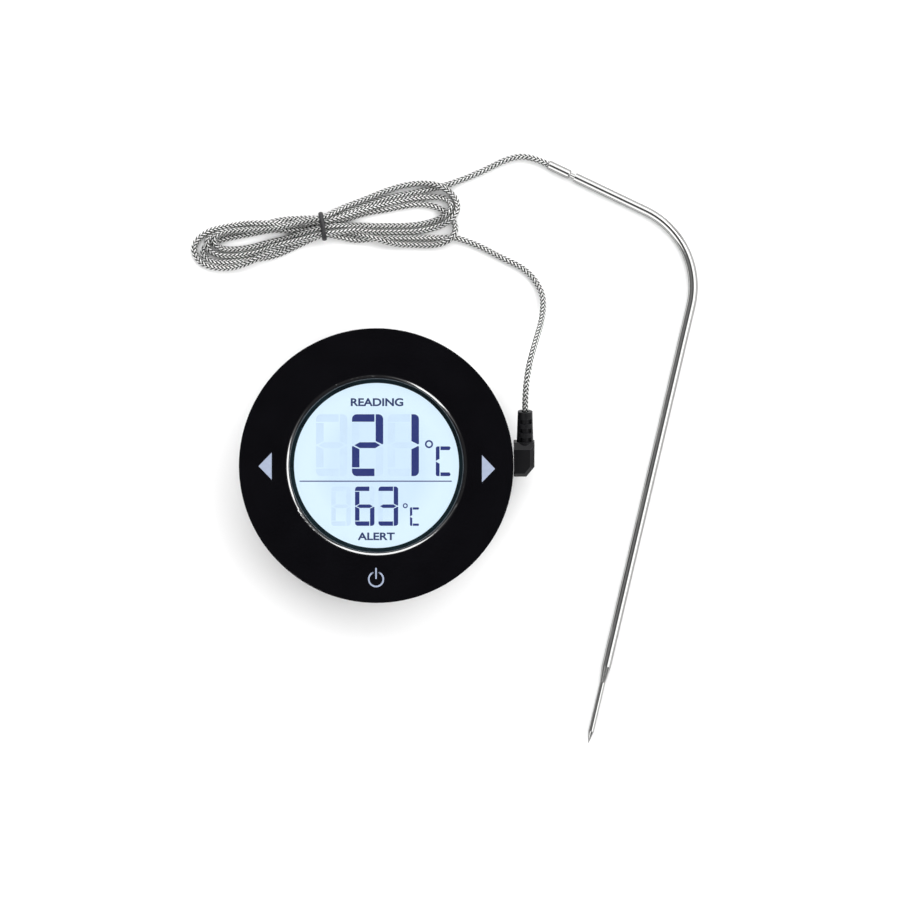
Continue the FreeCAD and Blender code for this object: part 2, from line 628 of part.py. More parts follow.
def plug_insulator():
    start = PLUG_FACE_X - PIN_LENGTH + PIN_INSULATOR_X
    end = PLUG_FACE_X + PIN_ROOT
    collar = rod_x(PLUG_PIN_R, start, start + PIN_SLEEVE_X - PIN_INSULATOR_X, JACK_Y, JACK_Z)
    liner = rod_x(PIN_LINER_R, start, end, JACK_Y, JACK_Z)
    return collar.fuse(liner).cut(rod_x(PIN_CORE_R, start, end, JACK_Y, JACK_Z))


def plug_tip():
    """Revolved about the pin's axis: a blunt point, a waist that the contact drops into, and a core."""
    start = PLUG_FACE_X - PIN_LENGTH
    end = PLUG_FACE_X + PIN_ROOT
    outline = [(start, 0)] + [(start + x, r) for x, r in PIN_TIP]
    outline += [(start + PIN_INSULATOR_X, PIN_CORE_R), (end, PIN_CORE_R), (end, 0)]
    corners = [Vector(x, JACK_Y + r, JACK_Z) for x, r in outline]
    face = Part.Face(Part.makePolygon(corners + corners[:1]))
    return face.revolve(Vector(0, JACK_Y, JACK_Z), Vector(1, 0, 0), 360)


def boot_rod(r0, r1, y0, y1):
    """A round or tapered length about the boot's axis."""
    axis = Vector(0, 1, 0)
    base = Vector(BOOT_X, y0, JACK_Z)
    if r0 == r1:
        return Part.makeCylinder(r0, y1 - y0, base, axis)
    return Part.makeCone(r0, r1, y1 - y0, base, axis)


def plug_boot():
    """A tapered sleeve moulded onto the plug, with slots above and below that leave a web between them."""
    sleeve = boot_rod(*BOOT_R, *BOOT_Y)
    left, right = BOOT_SPINES
    reach = 3 * BOOT_R[0]
    for y in BOOT_SLOTS:
        slot = boot_rod(2 * BOOT_R[0], 2 * BOOT_R[0], y, y + BOOT_SLOT_WIDTH)
        slot = slot.cut(boot_rod(BOOT_INNER_R, BOOT_INNER_R, y, y + BOOT_SLOT_WIDTH))
        for low, high in ((BOOT_WEB, reach), (-reach, -BOOT_WEB)):
            half = box(BOOT_X + left, BOOT_X + right, y, y + BOOT_SLOT_WIDTH, JACK_Z + low, JACK_Z + high)
            sleeve = sleeve.cut(slot.common(half))
    return turned_in_jack(sleeve.cut(plug_block()))


# ---- lead ----
def tube(points, r):
    """Straight runs joined by tangent arcs, as a solid. Prints the arcs' radii and checks the volume."""
    p = [Vector(*q) for q in points]
    edges, radii, long = [], [], 0.0
    start = p[0]
    for a, b, c in zip(p, p[1:], p[2:]):
        before, after = (b - a), (c - b)
        turn = before.getAngle(after)
        cut = 0.45 * min(before.Length, after.Length)
        radius = cut / math.tan(turn / 2)
        before.normalize()
        after.normalize()
        enter, leave = b - before * cut, b + after * cut
        inward = after - before
        inward.normalize()
        middle = b + inward * (radius / math.cos(turn / 2) - radius)
        edges += [Part.LineSegment(start, enter).toShape(), Part.Arc(enter, middle, leave).toShape()]
        long += (enter - start).Length + radius * turn
        radii.append(radius)
        start = leave
    edges.append(Part.LineSegment(start, p[-1]).toShape())
    long += (p[-1] - start).Length
    profile = Part.Wire(Part.makeCircle(r, p[0], p[1] - p[0]))
    solid = Part.Wire(edges).makePipeShell([profile], True, True)
    print("  radii", [round(x, 1) for x in radii], "length", round(long, 1),
          "volume share", round(solid.Volume / (math.pi * r * r * long), 4))
    return solid


def hank_place(shape):
    """From the hank's own axes to the unit's."""
    shape.rotate(Vector(0, 0, 0), Vector(0, 0, 1), HANK_TURN)
    shape.translate(Vector(TIE_X, TIE_Y, 0))
    return shape


def hank_solid():
    outline = Part.BSplineCurve()
    outline.interpolate([Vector(u, v, 0) for u, v in HANK_OUTLINE], PeriodicFlag=True)
    return hank_place(Part.Face(Part.Wire(outline.toShape())).extrude(Vector(0, 0, HANK_H)))


def cord_hank(runs):
    """The outer shape of the turns, less the two ends of the lead that run up to them."""
    solid = hank_solid()
    for run in runs:
        solid = solid.cut(run)
    return solid


def cord_tie(hank):
    band = box(-TIE_WIDE / 2, TIE_WIDE / 2, -TIE_LONG / 2, TIE_LONG / 2, 0, TIE_H)
    along = [e for e in band.Edges if abs(e.Vertexes[0].X - e.Vertexes[-1].X) > 1]
    return hank_place(band.makeFillet(TIE_ROUND, along)).cut(hank)


# ---- probe ----
def heading(degrees):
    turn = math.radians(degrees)
    return Vector(math.cos(turn), math.sin(turn), 0)


def probe_places():
    """The places along the probe's centre line, and its direction out of the ferrule and down the shaft."""
    out = heading(PROBE_TURN)
    down = heading(PROBE_TURN - BEND_TURN)
    start = Vector(PROBE_START[0], PROBE_START[1], PROBE_R)
    neck = start + out * FERRULE_LENGTH
    tube_start = neck + out * NECK_LENGTH
    handle_end = tube_start + out * HANDLE_LENGTH
    centre = handle_end + heading(PROBE_TURN - 90) * BEND_R
    bend_mid = centre + heading(PROBE_TURN - BEND_TURN / 2 + 90) * BEND_R
    bend_end = centre + heading(PROBE_TURN - BEND_TURN + 90) * BEND_R
    shaft_end = bend_end + down * SHAFT_LENGTH
    return SimpleNamespace(start=start, neck=neck, tube_start=tube_start, handle_end=handle_end,
                           bend_mid=bend_mid, bend_end=bend_end, shaft_end=shaft_end, out=out, down=down)


PROBE = probe_places()


def bent_rod(r):
    handle = Part.LineSegment(PROBE.tube_start, PROBE.handle_end).toShape()
    bend = Part.Arc(PROBE.handle_end, PROBE.bend_mid, PROBE.bend_end).toShape()
    shaft = Part.LineSegment(PROBE.bend_end, PROBE.shaft_end).toShape()
    profile = Part.Wire(Part.makeCircle(r, PROBE.tube_start, PROBE.out))
    return Part.Wire([handle, bend, shaft]).makePipeShell([profile], True, True)


def probe_tube():
    """The bent tube, closed at its handle end round a thin neck that runs into the ferrule."""
    neck = Part.makeCylinder(NECK_R, NECK_LENGTH + END_WALL, PROBE.neck, PROBE.out)
    end = Part.makeCylinder(PROBE_R, END_WALL, PROBE.tube_start, PROBE.out)
    bore = Part.makeCylinder(WIRE_BORE_R, NECK_LENGTH + 2 * END_WALL, PROBE.neck, PROBE.out)
    return bent_rod(PROBE_R).cut(bent_rod(PROBE_R - PROBE_WALL)).fuse([neck, end]).cut(bore)


def crimp_ferrule():
    sleeve = Part.makeCylinder(PROBE_R, FERRULE_LENGTH, PROBE.start, PROBE.out)
    sleeve = sleeve.makeFillet(FERRULE_ROUND, [e for e in sleeve.Edges if isinstance(e.Curve, Part.Circle)])
    return sleeve.cut(Part.makeCylinder(WIRE_BORE_R, FERRULE_LENGTH, PROBE.start, PROBE.out))


def probe_tip():
    needle = PROBE.shaft_end + PROBE.down * TAPER_LENGTH
    point = needle + PROBE.down * NEEDLE_LENGTH
    tip = Part.makeCone(PROBE_R, NEEDLE_R, TAPER_LENGTH, PROBE.shaft_end, PROBE.down)
    tip = tip.fuse(Part.makeCylinder(NEEDLE_R, NEEDLE_LENGTH, needle, PROBE.down))
    tip = tip.fuse(Part.makeCone(NEEDLE_R, POINT_R, POINT_LENGTH, point, PROBE.down))
    bore = Part.makeCylinder(TIP_BORE_R, TAPER_LENGTH + NEEDLE_LENGTH, PROBE.shaft_end, PROBE.down)
    return tip.cut(bore).removeSplitter()


def thermistor():
    top = PROBE.shaft_end + PROBE.down * (TAPER_LENGTH + NEEDLE_LENGTH - BEAD_BACK)
    return Part.makeCylinder(BEAD_R, BEAD_LENGTH, top, PROBE.down)


def sensor_wires():
    """The pair in the shaft, down to the sensor."""
    last = Part.makeCylinder(WIRES_R, TAPER_LENGTH + NEEDLE_LENGTH - BEAD_BACK, PROBE.shaft_end, PROBE.down)
    return bent_rod(WIRES_R).fuse(last)


def main():
    os.makedirs("parts", exist_ok=True)
    plug_run = tube(PLUG_RUN, CORD_R)
    probe_run = tube(PROBE_RUN, CORD_R)
    hank = cord_hank([plug_run, probe_run])
    nodes = {
        "front_bezel": front_bezel(),
        "display_lens": display_lens(),
        "lens_gasket": lens_gasket(),
        "lcd_front_glass": lcd_front_glass(),
        "lcd_rear_glass": lcd_rear_glass(),
        "light_guide": light_guide(),
        "backlight_leds": Part.makeCompound(backlight_leds()),
        "rubber_connector": rubber_connector(),
        "lcd_frame": lcd_frame(),
        "circuit_board": circuit_board(),
        "controller_chip": controller_chip(),
        "quartz_crystal": quartz_crystal(),
        "filter_capacitor": filter_capacitor(),
        "buzzer": buzzer(),
        "board_screws": Part.makeCompound(board_screws()),
        "jack_socket": jack_socket(),
        "jack_tip_contact": jack_tip_contact(),
        "jack_sleeve_contact": jack_sleeve_contact(),
        "rear_housing": rear_housing(),
        "housing_screws": Part.makeCompound(housing_screws()),
        "magnet_left": magnet(-1),
        "magnet_right": magnet(1),
        "battery_1": battery(CELL_Y[0], 1),
        "battery_2": battery(CELL_Y[1], -1),
        "battery_contact_bridge": battery_contact_bridge(),
        "battery_contact_plus": battery_contact(CELL_Y[0]),
        "battery_contact_minus": battery_contact(CELL_Y[1]),
        "battery_door": battery_door(),
        "stand": stand(),
        "stand_hinge_pin": stand_hinge_pin(),
        "plug_body": plug_body(),
        "plug_boot": plug_boot(),
        "plug_sleeve": plug_sleeve(),
        "plug_insulator": plug_insulator(),
        "plug_tip": plug_tip(),
        "cord_plug_run": plug_run,
        "cord_hank": hank,
        "cord_tie": cord_tie(hank),
        "cord_probe_run": probe_run,
        "crimp_ferrule": crimp_ferrule(),
        "probe_tube": probe_tube(),
        "probe_tip": probe_tip(),
        "thermistor": thermistor(),
        "sensor_wires": sensor_wires(),
    }
    for key, place in TOUCH_PADS.items():
        nodes["touch_pad_" + key] = touch_pad(place)
    for name, shape in nodes.items():
        export(name, shape)


main()
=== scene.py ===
import math

import bpy
import numpy as np
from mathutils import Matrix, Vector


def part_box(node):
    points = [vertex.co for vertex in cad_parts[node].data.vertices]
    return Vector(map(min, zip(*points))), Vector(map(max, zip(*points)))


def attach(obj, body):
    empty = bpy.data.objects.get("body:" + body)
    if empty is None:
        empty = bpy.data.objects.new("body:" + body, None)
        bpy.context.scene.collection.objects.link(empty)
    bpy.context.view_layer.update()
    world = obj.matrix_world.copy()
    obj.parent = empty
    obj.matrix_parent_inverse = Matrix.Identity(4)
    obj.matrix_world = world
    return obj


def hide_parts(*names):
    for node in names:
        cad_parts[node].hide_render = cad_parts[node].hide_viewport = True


# A roasting thermometer on a pale studio floor: a round display unit on its back, a bent steel
# probe, and the braided lead between them, folded in a hank. Metres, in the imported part's frame.

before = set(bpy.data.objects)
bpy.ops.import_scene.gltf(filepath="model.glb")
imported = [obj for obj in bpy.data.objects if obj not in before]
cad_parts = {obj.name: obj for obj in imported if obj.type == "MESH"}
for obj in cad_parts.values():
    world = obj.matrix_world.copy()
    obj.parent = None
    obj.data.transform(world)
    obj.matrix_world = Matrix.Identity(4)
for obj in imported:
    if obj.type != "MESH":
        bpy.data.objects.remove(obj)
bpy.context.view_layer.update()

# ---- camera ----
CAMERA_PLACE = (0.02410, 0.00508, 1.8)
CAMERA_LENS = 217.1      # millimetres, on a 36 mm sensor

# ---- lead ----
CORD_D = 0.00215
CORD_R = CORD_D / 2
PLUG_RUN = [             # the route points of part.py's two cord runs, each starting where it leaves
    (0.0488, 0.01784, 0.01524), (0.0488, 0.02434, 0.01698), (0.0500, 0.0330, 0.0154),
    (0.0524, 0.0412, 0.0106), (0.0549, 0.0494, 0.0036), (0.0550, 0.0576, 0.0011),
    (0.0494, 0.0650, 0.0011), (0.0414, 0.0687, 0.0011), (0.0336, 0.0729, 0.0011),
    (0.0262, 0.0755, 0.0011),
]
PROBE_RUN = [
    (0.05658, 0.09971, 0.0015), (0.05008, 0.10281, 0.0015), (0.0429, 0.1015, 0.0013),
    (0.0362, 0.0980, 0.0012), (0.0295, 0.0951, 0.0012), (0.0229, 0.0928, 0.0012),
]

# ---- hank, in its own axes: u along it, v across it, both from the tie ----
TIE_PLACE = (-0.0181, 0.0792)
HANK_TURN = math.radians(8.6)
TIE_SLOTS = {            # where each pass goes through the tie: v, z
    "upper_1": (0.00225, 0.00530), "upper_2": (0.00230, 0.00175), "upper_3": (0.00115, 0.00350),
    "upper_4": (0.00010, 0.00175), "lower_a": (0.00005, 0.00530), "lower_b": (-0.00215, 0.00530),
    "lower_c": (-0.00220, 0.00175), "lower_d": (-0.00110, 0.00350),
}
# Each fold: the slot it leaves and the slot it comes back to, how far it reaches, how far it leans
# aside, how far it swells going out and coming back, and its height at its far end.
LOOPS = [
    ("lower_c", "upper_4", -0.0408, -0.0016, -0.0054, 0.0028, 0.0011),
    ("upper_4", "lower_d", 0.0438, -0.0056, 0.0060, -0.0076, 0.0016),
    ("lower_d", "upper_3", -0.0437, -0.0006, -0.0075, 0.0036, 0.0011),
    ("upper_3", "lower_a", 0.0439, 0.0001, 0.0034, -0.0047, 0.0030),
    ("lower_a", "upper_1", -0.0368, 0.0008, -0.0051, 0.0006, 0.0034),
    ("upper_1", "lower_b", 0.0452, -0.0006, 0.00855, -0.00485, 0.0042),
    ("lower_b", "upper_2", -0.0396, -0.0004, -0.00395, 0.0022, 0.0032),
]
LOOP_POINTS = 28
LOOP_BLUNTNESS = 0.9     # under 1 makes a loop's end rounder
ENTRY_POINTS = 14
ENTRY_HEIGHT = 0.0012
PLUG_ENTRY = ("lower_c", -0.0016)    # slot, and how far the entry bends aside
PROBE_ENTRY = ("upper_2", 0.0006)
HANK_STEP = 0.0022       # between the turns' points
TIE_HALF_WIDTH = 0.0008
TIE_THICK = 0.0006       # half of the band's thickness

# ---- how the folded turns settle ----
SETTLE_STEPS = 500
NEIGHBOURS = 3           # points this close along the lead don't push each other
FIXED_ENDS = 2           # points held at each end
PUSH = 0.7               # share of an overlap that one step takes out
STRAIGHTEN = 0.55
MEMORY = (0.05, 0.03)    # pull back to the first outline, in the first 60% of the steps and after
SINK = (3e-5, 1e-5)      # fall in one step, in the first 80% of the steps and after
TIE_STRETCH = 0.0015     # half of the length that the tie holds
TIE_HALF_ACROSS = 0.0026
TIE_TOP = 0.0054
TIE_LIFT = 0.005         # how far from the tie its band lifts the passes off the floor
TINY = 1e-12             # keeps a division from meeting zero
BESIDE_STEP = 0.001      # between the points of the runs that push the turns
BESIDE_POINTS = 30       # of each run, at its hank end


# ================================ lead: its route ================================
def hank_axes(points):
    """Points in the frame, in the hank's own axes."""
    x, y, z = np.array(points, float).T
    x = x - TIE_PLACE[0]
    y = y - TIE_PLACE[1]
    c, s = math.cos(HANK_TURN), math.sin(HANK_TURN)
    return np.stack([x * c + y * s, y * c - x * s, z], 1)


def from_hank_axes(points):
    """Points in the hank's own axes, in the frame."""
    u, v, z = np.array(points, float).T
    c, s = math.cos(HANK_TURN), math.sin(HANK_TURN)
    return np.stack([TIE_PLACE[0] + u * c - v * s, TIE_PLACE[1] + u * s + v * c, z], 1)


def loop_points(leave, come_back, reach, lean, out_swell, back_swell, height):
    """One fold of the lead, from the tie round an end of the hank and back to the tie."""
    (v0, z0), (v1, z1) = TIE_SLOTS[leave], TIE_SLOTS[come_back]
    t = np.linspace(0, 1, LOOP_POINTS, endpoint=False)
    away = np.sin(math.pi * t)
    wave = np.sin(2 * math.pi * t)
    u = reach * away ** LOOP_BLUNTNESS
    v = v0 + (v1 - v0) * t + lean * away ** 2 + np.where(wave > 0, out_swell * wave, -back_swell * wave)
    z = z0 + (z1 - z0) * t + (height - (z0 + z1) / 2) * away ** 2
    return np.stack([u, v, z], 1)


def entry_points(run_end, slot, aside):
    """From the end of a run to its slot in the tie, in one easy curve that bends aside."""
    t = np.linspace(0, 1, ENTRY_POINTS, endpoint=False)[:, None]
    last = np.array([0, *TIE_SLOTS[slot]])
    bend = (run_end + last) / 2
    bend[1] += aside
    bend[2] = ENTRY_HEIGHT
    return (1 - t) ** 2 * run_end + 2 * t * (1 - t) * bend + t ** 2 * last


def even(line, step):
    """The same line with its points one step apart."""
    along = np.concatenate([[0], np.cumsum(np.linalg.norm(np.diff(line, axis=0), axis=1))])
    at = np.linspace(0, along[-1], int(round(along[-1] / step)) + 1)
    return np.stack([np.interp(at, along, line[:, k]) for k in range(3)], 1)


def spline_line(points):
    """Points along the smooth line that has these control points."""
    curve = bpy.data.curves.new("lead_line", "CURVE")
    curve.dimensions = "3D"
    curve.resolution_u = 8
    spline = curve.splines.new("NURBS")
    spline.points.add(len(points) - 1)
    for spot, place in zip(spline.points, points):
        spot.co = (*place, 1)
    spline.order_u = 3
    spline.use_endpoint_u = True
    holder = bpy.data.objects.new("lead_line", curve)
    mesh = bpy.data.meshes.new_from_object(holder)
    line = np.array([v.co for v in mesh.vertices], float)
    bpy.data.objects.remove(holder)
    bpy.data.curves.remove(curve)
    bpy.data.meshes.remove(mesh)
    return line


def too_near(count, total):
    """Which of the turns' points lie so close along the lead that they don't push each other."""
    order = np.arange(total)
    near = np.abs(order[:count, None] - order[None, :]) <= NEIGHBOURS
    near[:NEIGHBOURS, count:] = True
    near[-NEIGHBOURS:, count:] = True
    return near


def push_apart(p, beside, near, share):
    """How far each point is pushed by the passes that it overlaps."""
    gap = p[:, None, :] - np.concatenate([p, beside])[None, :, :]
    distance = np.sqrt((gap ** 2).sum(2)) + TINY
    push = np.clip(CORD_D - distance, 0, None) * share
    push[near] = 0
    touching = np.maximum((push > 0).sum(1), 1)[:, None]
    return (gap / distance[:, :, None] * push[:, :, None]).sum(1) / np.sqrt(touching) * PUSH


def keep_length(p, rest):
    """How far each point moves so that its distances to its neighbours come back to rest."""
    edge = np.diff(p, axis=0)
    size = np.linalg.norm(edge, axis=1) + TINY
    pull = edge * ((size - rest) / size * 0.5)[:, None]
    move = np.zeros_like(p)
    move[:-1] += pull
    move[1:] -= pull
    return move


def straighten(p):
    """How far each point moves towards a smoother line."""
    move = np.zeros_like(p)
    move[2:-2] = (4 * p[1:-3] + 4 * p[3:-1] - p[:-4] - p[4:] - 6 * p[2:-2]) / 16
    return STRAIGHTEN * move


def hold(p):
    """Keeps the passes inside the tie, above the floor, and on top of the tie's own band."""
    in_tie = np.abs(p[:, 0]) < TIE_STRETCH
    p[in_tie, 1] = np.clip(p[in_tie, 1], -TIE_HALF_ACROSS, TIE_HALF_ACROSS)
    p[in_tie, 2] = np.minimum(p[in_tie, 2], TIE_TOP)
    floor_z = CORD_R + 2 * TIE_THICK * np.exp(-(p[:, 0] / TIE_LIFT) ** 2)
    p[:, 2] = np.maximum(p[:, 2], floor_z)


def settle(line, beside, steps):
    """Lets the folded turns push apart to a cord's thickness, keep their length, straighten and sink,
    while the tie holds them together."""
    p = even(line, HANK_STEP)
    aim = p.copy()
    count, total = len(p), len(p) + len(beside)
    rest = np.linalg.norm(np.diff(p, axis=0), axis=1)
    near = too_near(count, total)
    free = np.ones((count, 1))
    free[:FIXED_ENDS] = 0
    free[-FIXED_ENDS:] = 0
    share = np.full(total, 0.5)
    share[count:] = 1.0          # a run doesn't give way
    for step in range(steps):
        p += push_apart(p, beside, near, share) * free
        p += keep_length(p, rest) * free
        p += straighten(p) * free
        memory = MEMORY[0] if step < steps * 0.6 else MEMORY[1]
        p[:, :2] += memory * (aim[:, :2] - p[:, :2]) * free
        p[:, 2:] -= (SINK[0] if step < steps * 0.8 else SINK[1]) * free
        hold(p)
    return p


def hank_turns():
    """The control points of the folded part, in the frame, from the plug's run to the probe's."""
    start = hank_axes(PLUG_RUN[-1:])[0]
    end = hank_axes(PROBE_RUN[-1:])[0]
    parts = [entry_points(start, *PLUG_ENTRY)]
    parts += [loop_points(*loop) for loop in LOOPS]
    parts += [entry_points(end, *PROBE_ENTRY)[::-1], end[None]]
    runs = [even(hank_axes(spline_line(run)), BESIDE_STEP) for run in (PLUG_RUN, PROBE_RUN)]
    beside = [run[-BESIDE_POINTS:] for run in runs]
    steps = SETTLE_STEPS
    return from_hank_axes(settle(np.concatenate(parts), np.concatenate(beside), steps))


# ================================ mesh tools ================================
def piece(name, points, faces, mat, body, smooth=True, uvs=None):
    """A new object that rides on a body. uvs holds one pair for each face corner."""
    mesh = bpy.data.meshes.new(name)
    mesh.from_pydata([tuple(p) for p in points], [], [tuple(f) for f in faces])
    mesh.validate()
    if uvs is not None:
        layer = mesh.uv_layers.new(name="lay")
        layer.data.foreach_set("uv", np.array(uvs, np.float32).ravel())
    mesh.polygons.foreach_set("use_smooth", [smooth] * len(mesh.polygons))
    mesh.materials.append(mat)
    mesh.update()
    obj = bpy.data.objects.new(name, mesh)
    bpy.context.scene.collection.objects.link(obj)
    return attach(obj, body)


def unit(vectors):
    return vectors / np.linalg.norm(vectors, axis=1)[:, None]


def travelling_axes(line):
    """Two directions across a line at each point, carried along it without twist, and the one along it."""
    ahead = unit(np.gradient(line, axis=0))
    side = np.zeros_like(line)
    start = np.cross(ahead[0], (0.0, 0.0, 1.0))
    side[0] = start / np.linalg.norm(start)
    for i in range(1, len(line)):
        carried = side[i - 1] - ahead[i] * side[i - 1].dot(ahead[i])
        side[i] = carried / np.linalg.norm(carried)
    return side, np.cross(ahead, side), ahead


def tube_grid(rows, ring, closed):
    """Faces of a tube of rows of ring points, with flat ends unless it closes on itself."""
    faces = []
    for i in range(rows if closed else rows - 1):
        a, b = i * ring, (i + 1) % rows * ring
        faces += [(a + k, a + (k + 1) % ring, b + (k + 1) % ring, b + k) for k in range(ring)]
    if not closed:
        faces += [tuple(reversed(range(ring))), tuple(range((rows - 1) * ring, rows * ring))]
    return faces


# ================================ lead: its braid ================================
CARRIERS = 6             # bands of wire wound each way
BRAID_PITCH = 0.0083     # one turn of a band
BRAID_STEP = 0.0005
BAND_RADIUS = 0.00090
BAND_WAVE = 0.00011      # how far a band goes over and under
BAND_HALF = 0.00029
BAND_THICK = 0.0001      # half of it
CORE_RADIUS = 0.00074
CORE_SIDES = 8


def braid_bands(line):
    """Points, faces and UVs of the bands: each goes over two of the other way's bands and under two."""
    side, up, ahead = travelling_axes(line)
    along = np.arange(len(line)) * BRAID_STEP
    crossing = 2 * CARRIERS * along / BRAID_PITCH
    quads = np.array(tube_grid(len(line), 4, False)[:-2])
    corners = quads.ravel()
    across_band = np.array([0, 0.5, 1.0, 0.5])[corners % 4]
    points, faces, uvs = [], [], []
    for way in (1, -1):
        slope = way * 2 * math.pi * BAND_RADIUS / BRAID_PITCH
        for i in range(CARRIERS):
            angle = way * 2 * math.pi * along / BRAID_PITCH + 2 * math.pi * i / CARRIERS
            turn = crossing - 0.5 + 2 * i if way > 0 else 2 * i - crossing - 0.5
            radius = BAND_RADIUS + way * BAND_WAVE * np.cos(math.pi / 2 * turn)
            out = side * np.cos(angle)[:, None] + up * np.sin(angle)[:, None]
            round_it = up * np.cos(angle)[:, None] - side * np.sin(angle)[:, None]
            across = (round_it - ahead * slope) / math.hypot(1, slope)
            middle = line + out * radius[:, None]
            ring = [middle - across * BAND_HALF, middle + out * BAND_THICK,
                    middle + across * BAND_HALF, middle - out * BAND_THICK]
            faces.append(quads + len(points) * 4 * len(line))
            points.append(np.stack(ring, 1).reshape(-1, 3))
            # how deep the band dives under the others, carried in the UV map for painted shade there
            dive_shade = np.repeat(0.5 - 0.5 * way * np.cos(math.pi / 2 * turn), 4)
            uvs.append(np.stack([across_band, dive_shade[corners]], 1))
    return np.concatenate(points), np.concatenate(faces), np.concatenate(uvs)


def band_ends(count, rows):
    """The two end faces of each band."""
    ends = []
    for i in range(count):
        first = i * rows * 4
        last = first + (rows - 1) * 4
        ends += [(first + 3, first + 2, first + 1, first), (last, last + 1, last + 2, last + 3)]
    return ends


def core_tube(line, first):
    """Points and faces of the core, which is coloured near black as painted shade in the braid's gaps. Its
    faces count its points from that first one.
    """
    side, up, _ = travelling_axes(line)
    turns = np.arange(CORE_SIDES) * 2 * math.pi / CORE_SIDES
    spokes = side[:, None] * np.cos(turns)[None, :, None] + up[:, None] * np.sin(turns)[None, :, None]
    points = (line[:, None] + CORE_RADIUS * spokes).reshape(-1, 3)
    faces = [tuple(k + first for k in face) for face in tube_grid(len(line), CORE_SIDES, False)]
    return points, faces


def lead(mat, core_mat):
    """The whole lead as one piece: two ways of bands wound over a core coloured near black as painted shade
    in their gaps.
    """
    route = [*PLUG_RUN[:-1], *hank_turns().tolist(), *PROBE_RUN[-2::-1]]
    smooth_line = spline_line(route)
    line = even(smooth_line, BRAID_STEP)
    points, faces, uvs = braid_bands(line)
    ends = band_ends(2 * CARRIERS, len(line))
    core, core_faces = core_tube(line[::2], len(points))
    all_faces = [tuple(f) for f in faces.tolist()] + ends + core_faces
    spare = sum(len(f) for f in ends + core_faces)
    all_uvs = np.concatenate([uvs, np.zeros((spare, 2))])
    obj = piece("braided_lead", np.concatenate([points, core]), all_faces, mat, "probe_lead",
                uvs=all_uvs)
    obj.data.materials.append(core_mat)
    for polygon in obj.data.polygons[-len(core_faces):]:
        polygon.material_index = 1
    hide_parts("cord_plug_run", "cord_hank", "cord_probe_run")
    return obj, smooth_line


# ================================ lead: its tie ================================
TIE_ROWS, TIE_RING = 96, 12
TIE_SQUARE = 0.72        # under 1 makes the ring squarer
TIE_BITE = 0.7           # share of the band's half thickness between its middle and the passes
TIE_LEAN = 0.0001        # how far the ring's top and bottom stand off its plane
TIE_CLEAR = 0.00002      # between the ring and the floor
TIE_REACH = 0.001        # the lead this near the tie's middle sets the ring's size


def tie_middle(local):
    """The middle line of the tie's ring and its centre, in the hank's own axes."""
    inside = local[np.abs(local[:, 0]) < TIE_REACH]
    low = inside.min(0) - CORD_R - TIE_THICK * TIE_BITE
    high = inside.max(0) + CORD_R + TIE_THICK * TIE_BITE
    centre, half = (high + low) / 2, (high - low) / 2
    turn = np.arange(TIE_ROWS) * 2 * math.pi / TIE_ROWS
    c, s = np.cos(turn), np.sin(turn)
    v = centre[1] + half[1] * np.sign(c) * np.abs(c) ** TIE_SQUARE
    z = centre[2] + half[2] * np.sign(s) * np.abs(s) ** TIE_SQUARE
    z = np.maximum(z, TIE_THICK + TIE_CLEAR)
    return np.stack([TIE_LEAN * s, v, z], 1), centre


def tie_band(line, mat):
    """A soft ring round all the passes."""
    middle, centre = tie_middle(hank_axes(line))
    outward = middle - centre
    outward[:, 0] = 0
    along = unit(np.roll(middle, -1, 0) - np.roll(middle, 1, 0))
    across = unit(np.cross(along, unit(outward)))
    outward = np.cross(across, along)
    around = np.arange(TIE_RING) * 2 * math.pi / TIE_RING
    points = middle[:, None] + TIE_HALF_WIDTH * np.cos(around)[None, :, None] * across[:, None]
    points = points + TIE_THICK * np.sin(around)[None, :, None] * outward[:, None]
    faces = tube_grid(TIE_ROWS, TIE_RING, True)
    obj = piece("tie_ring", from_hank_axes(points.reshape(-1, 3)), faces, mat, "probe_lead")
    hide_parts("cord_tie")
    return obj


# ================================ materials ================================
def new_material(name):
    """A material, its nodes, its links and its shader."""
    mat = bpy.data.materials.new(name)
    mat.use_nodes = True
    return mat, mat.node_tree.nodes, mat.node_tree.links, mat.node_tree.nodes["Principled BSDF"]


def object_place(nodes):
    return nodes.new("ShaderNodeTexCoord").outputs["Object"]


def grain(nodes, links, place, size, detail=3.0):
    """Noise whose spots are about that size in metres."""
    noise = nodes.new("ShaderNodeTexNoise")
    noise.inputs["Scale"].default_value = 1 / size
    noise.inputs["Detail"].default_value = detail
    links.new(place, noise.inputs["Vector"])
    return noise.outputs["Fac"]


def between(nodes, links, value, low, high):
    """A value from 0 to 1, spread over low to high."""
    spread = nodes.new("ShaderNodeMapRange")
    spread.inputs["To Min"].default_value = low
    spread.inputs["To Max"].default_value = high
    links.new(value, spread.inputs["Value"])
    return spread.outputs["Result"]


def shades(nodes, links, value, dark, light):
    """A value from 0 to 1, as a colour from dark to light."""
    ramp = nodes.new("ShaderNodeValToRGB")
    ramp.color_ramp.elements[0].position = 0.3
    ramp.color_ramp.elements[1].position = 0.7
    ramp.color_ramp.elements[0].color = (*dark, 1)
    ramp.color_ramp.elements[1].color = (*light, 1)
    links.new(value, ramp.inputs["Fac"])
    return ramp.outputs["Color"]


def maths(nodes, links, operation, *values):
    """A Math node on numbers and sockets."""
    node = nodes.new("ShaderNodeMath")
    node.operation = operation
    for socket, value in zip(node.inputs, values):
        if isinstance(value, (int, float)):
            socket.default_value = value
        else:
            links.new(value, socket)
    return node.outputs["Value"]


def bumped(nodes, links, height, depth, shader):
    """Gives a shader a relief of that depth in metres."""
    bump = nodes.new("ShaderNodeBump")
    bump.inputs["Distance"].default_value = depth
    links.new(height, bump.inputs["Height"])
    links.new(bump.outputs["Normal"], shader.inputs["Normal"])


BLOTCH = 0.004           # size of the blotches of a surface
BLOTCH_SPREAD = 0.12     # how far they stray from its colour and roughness


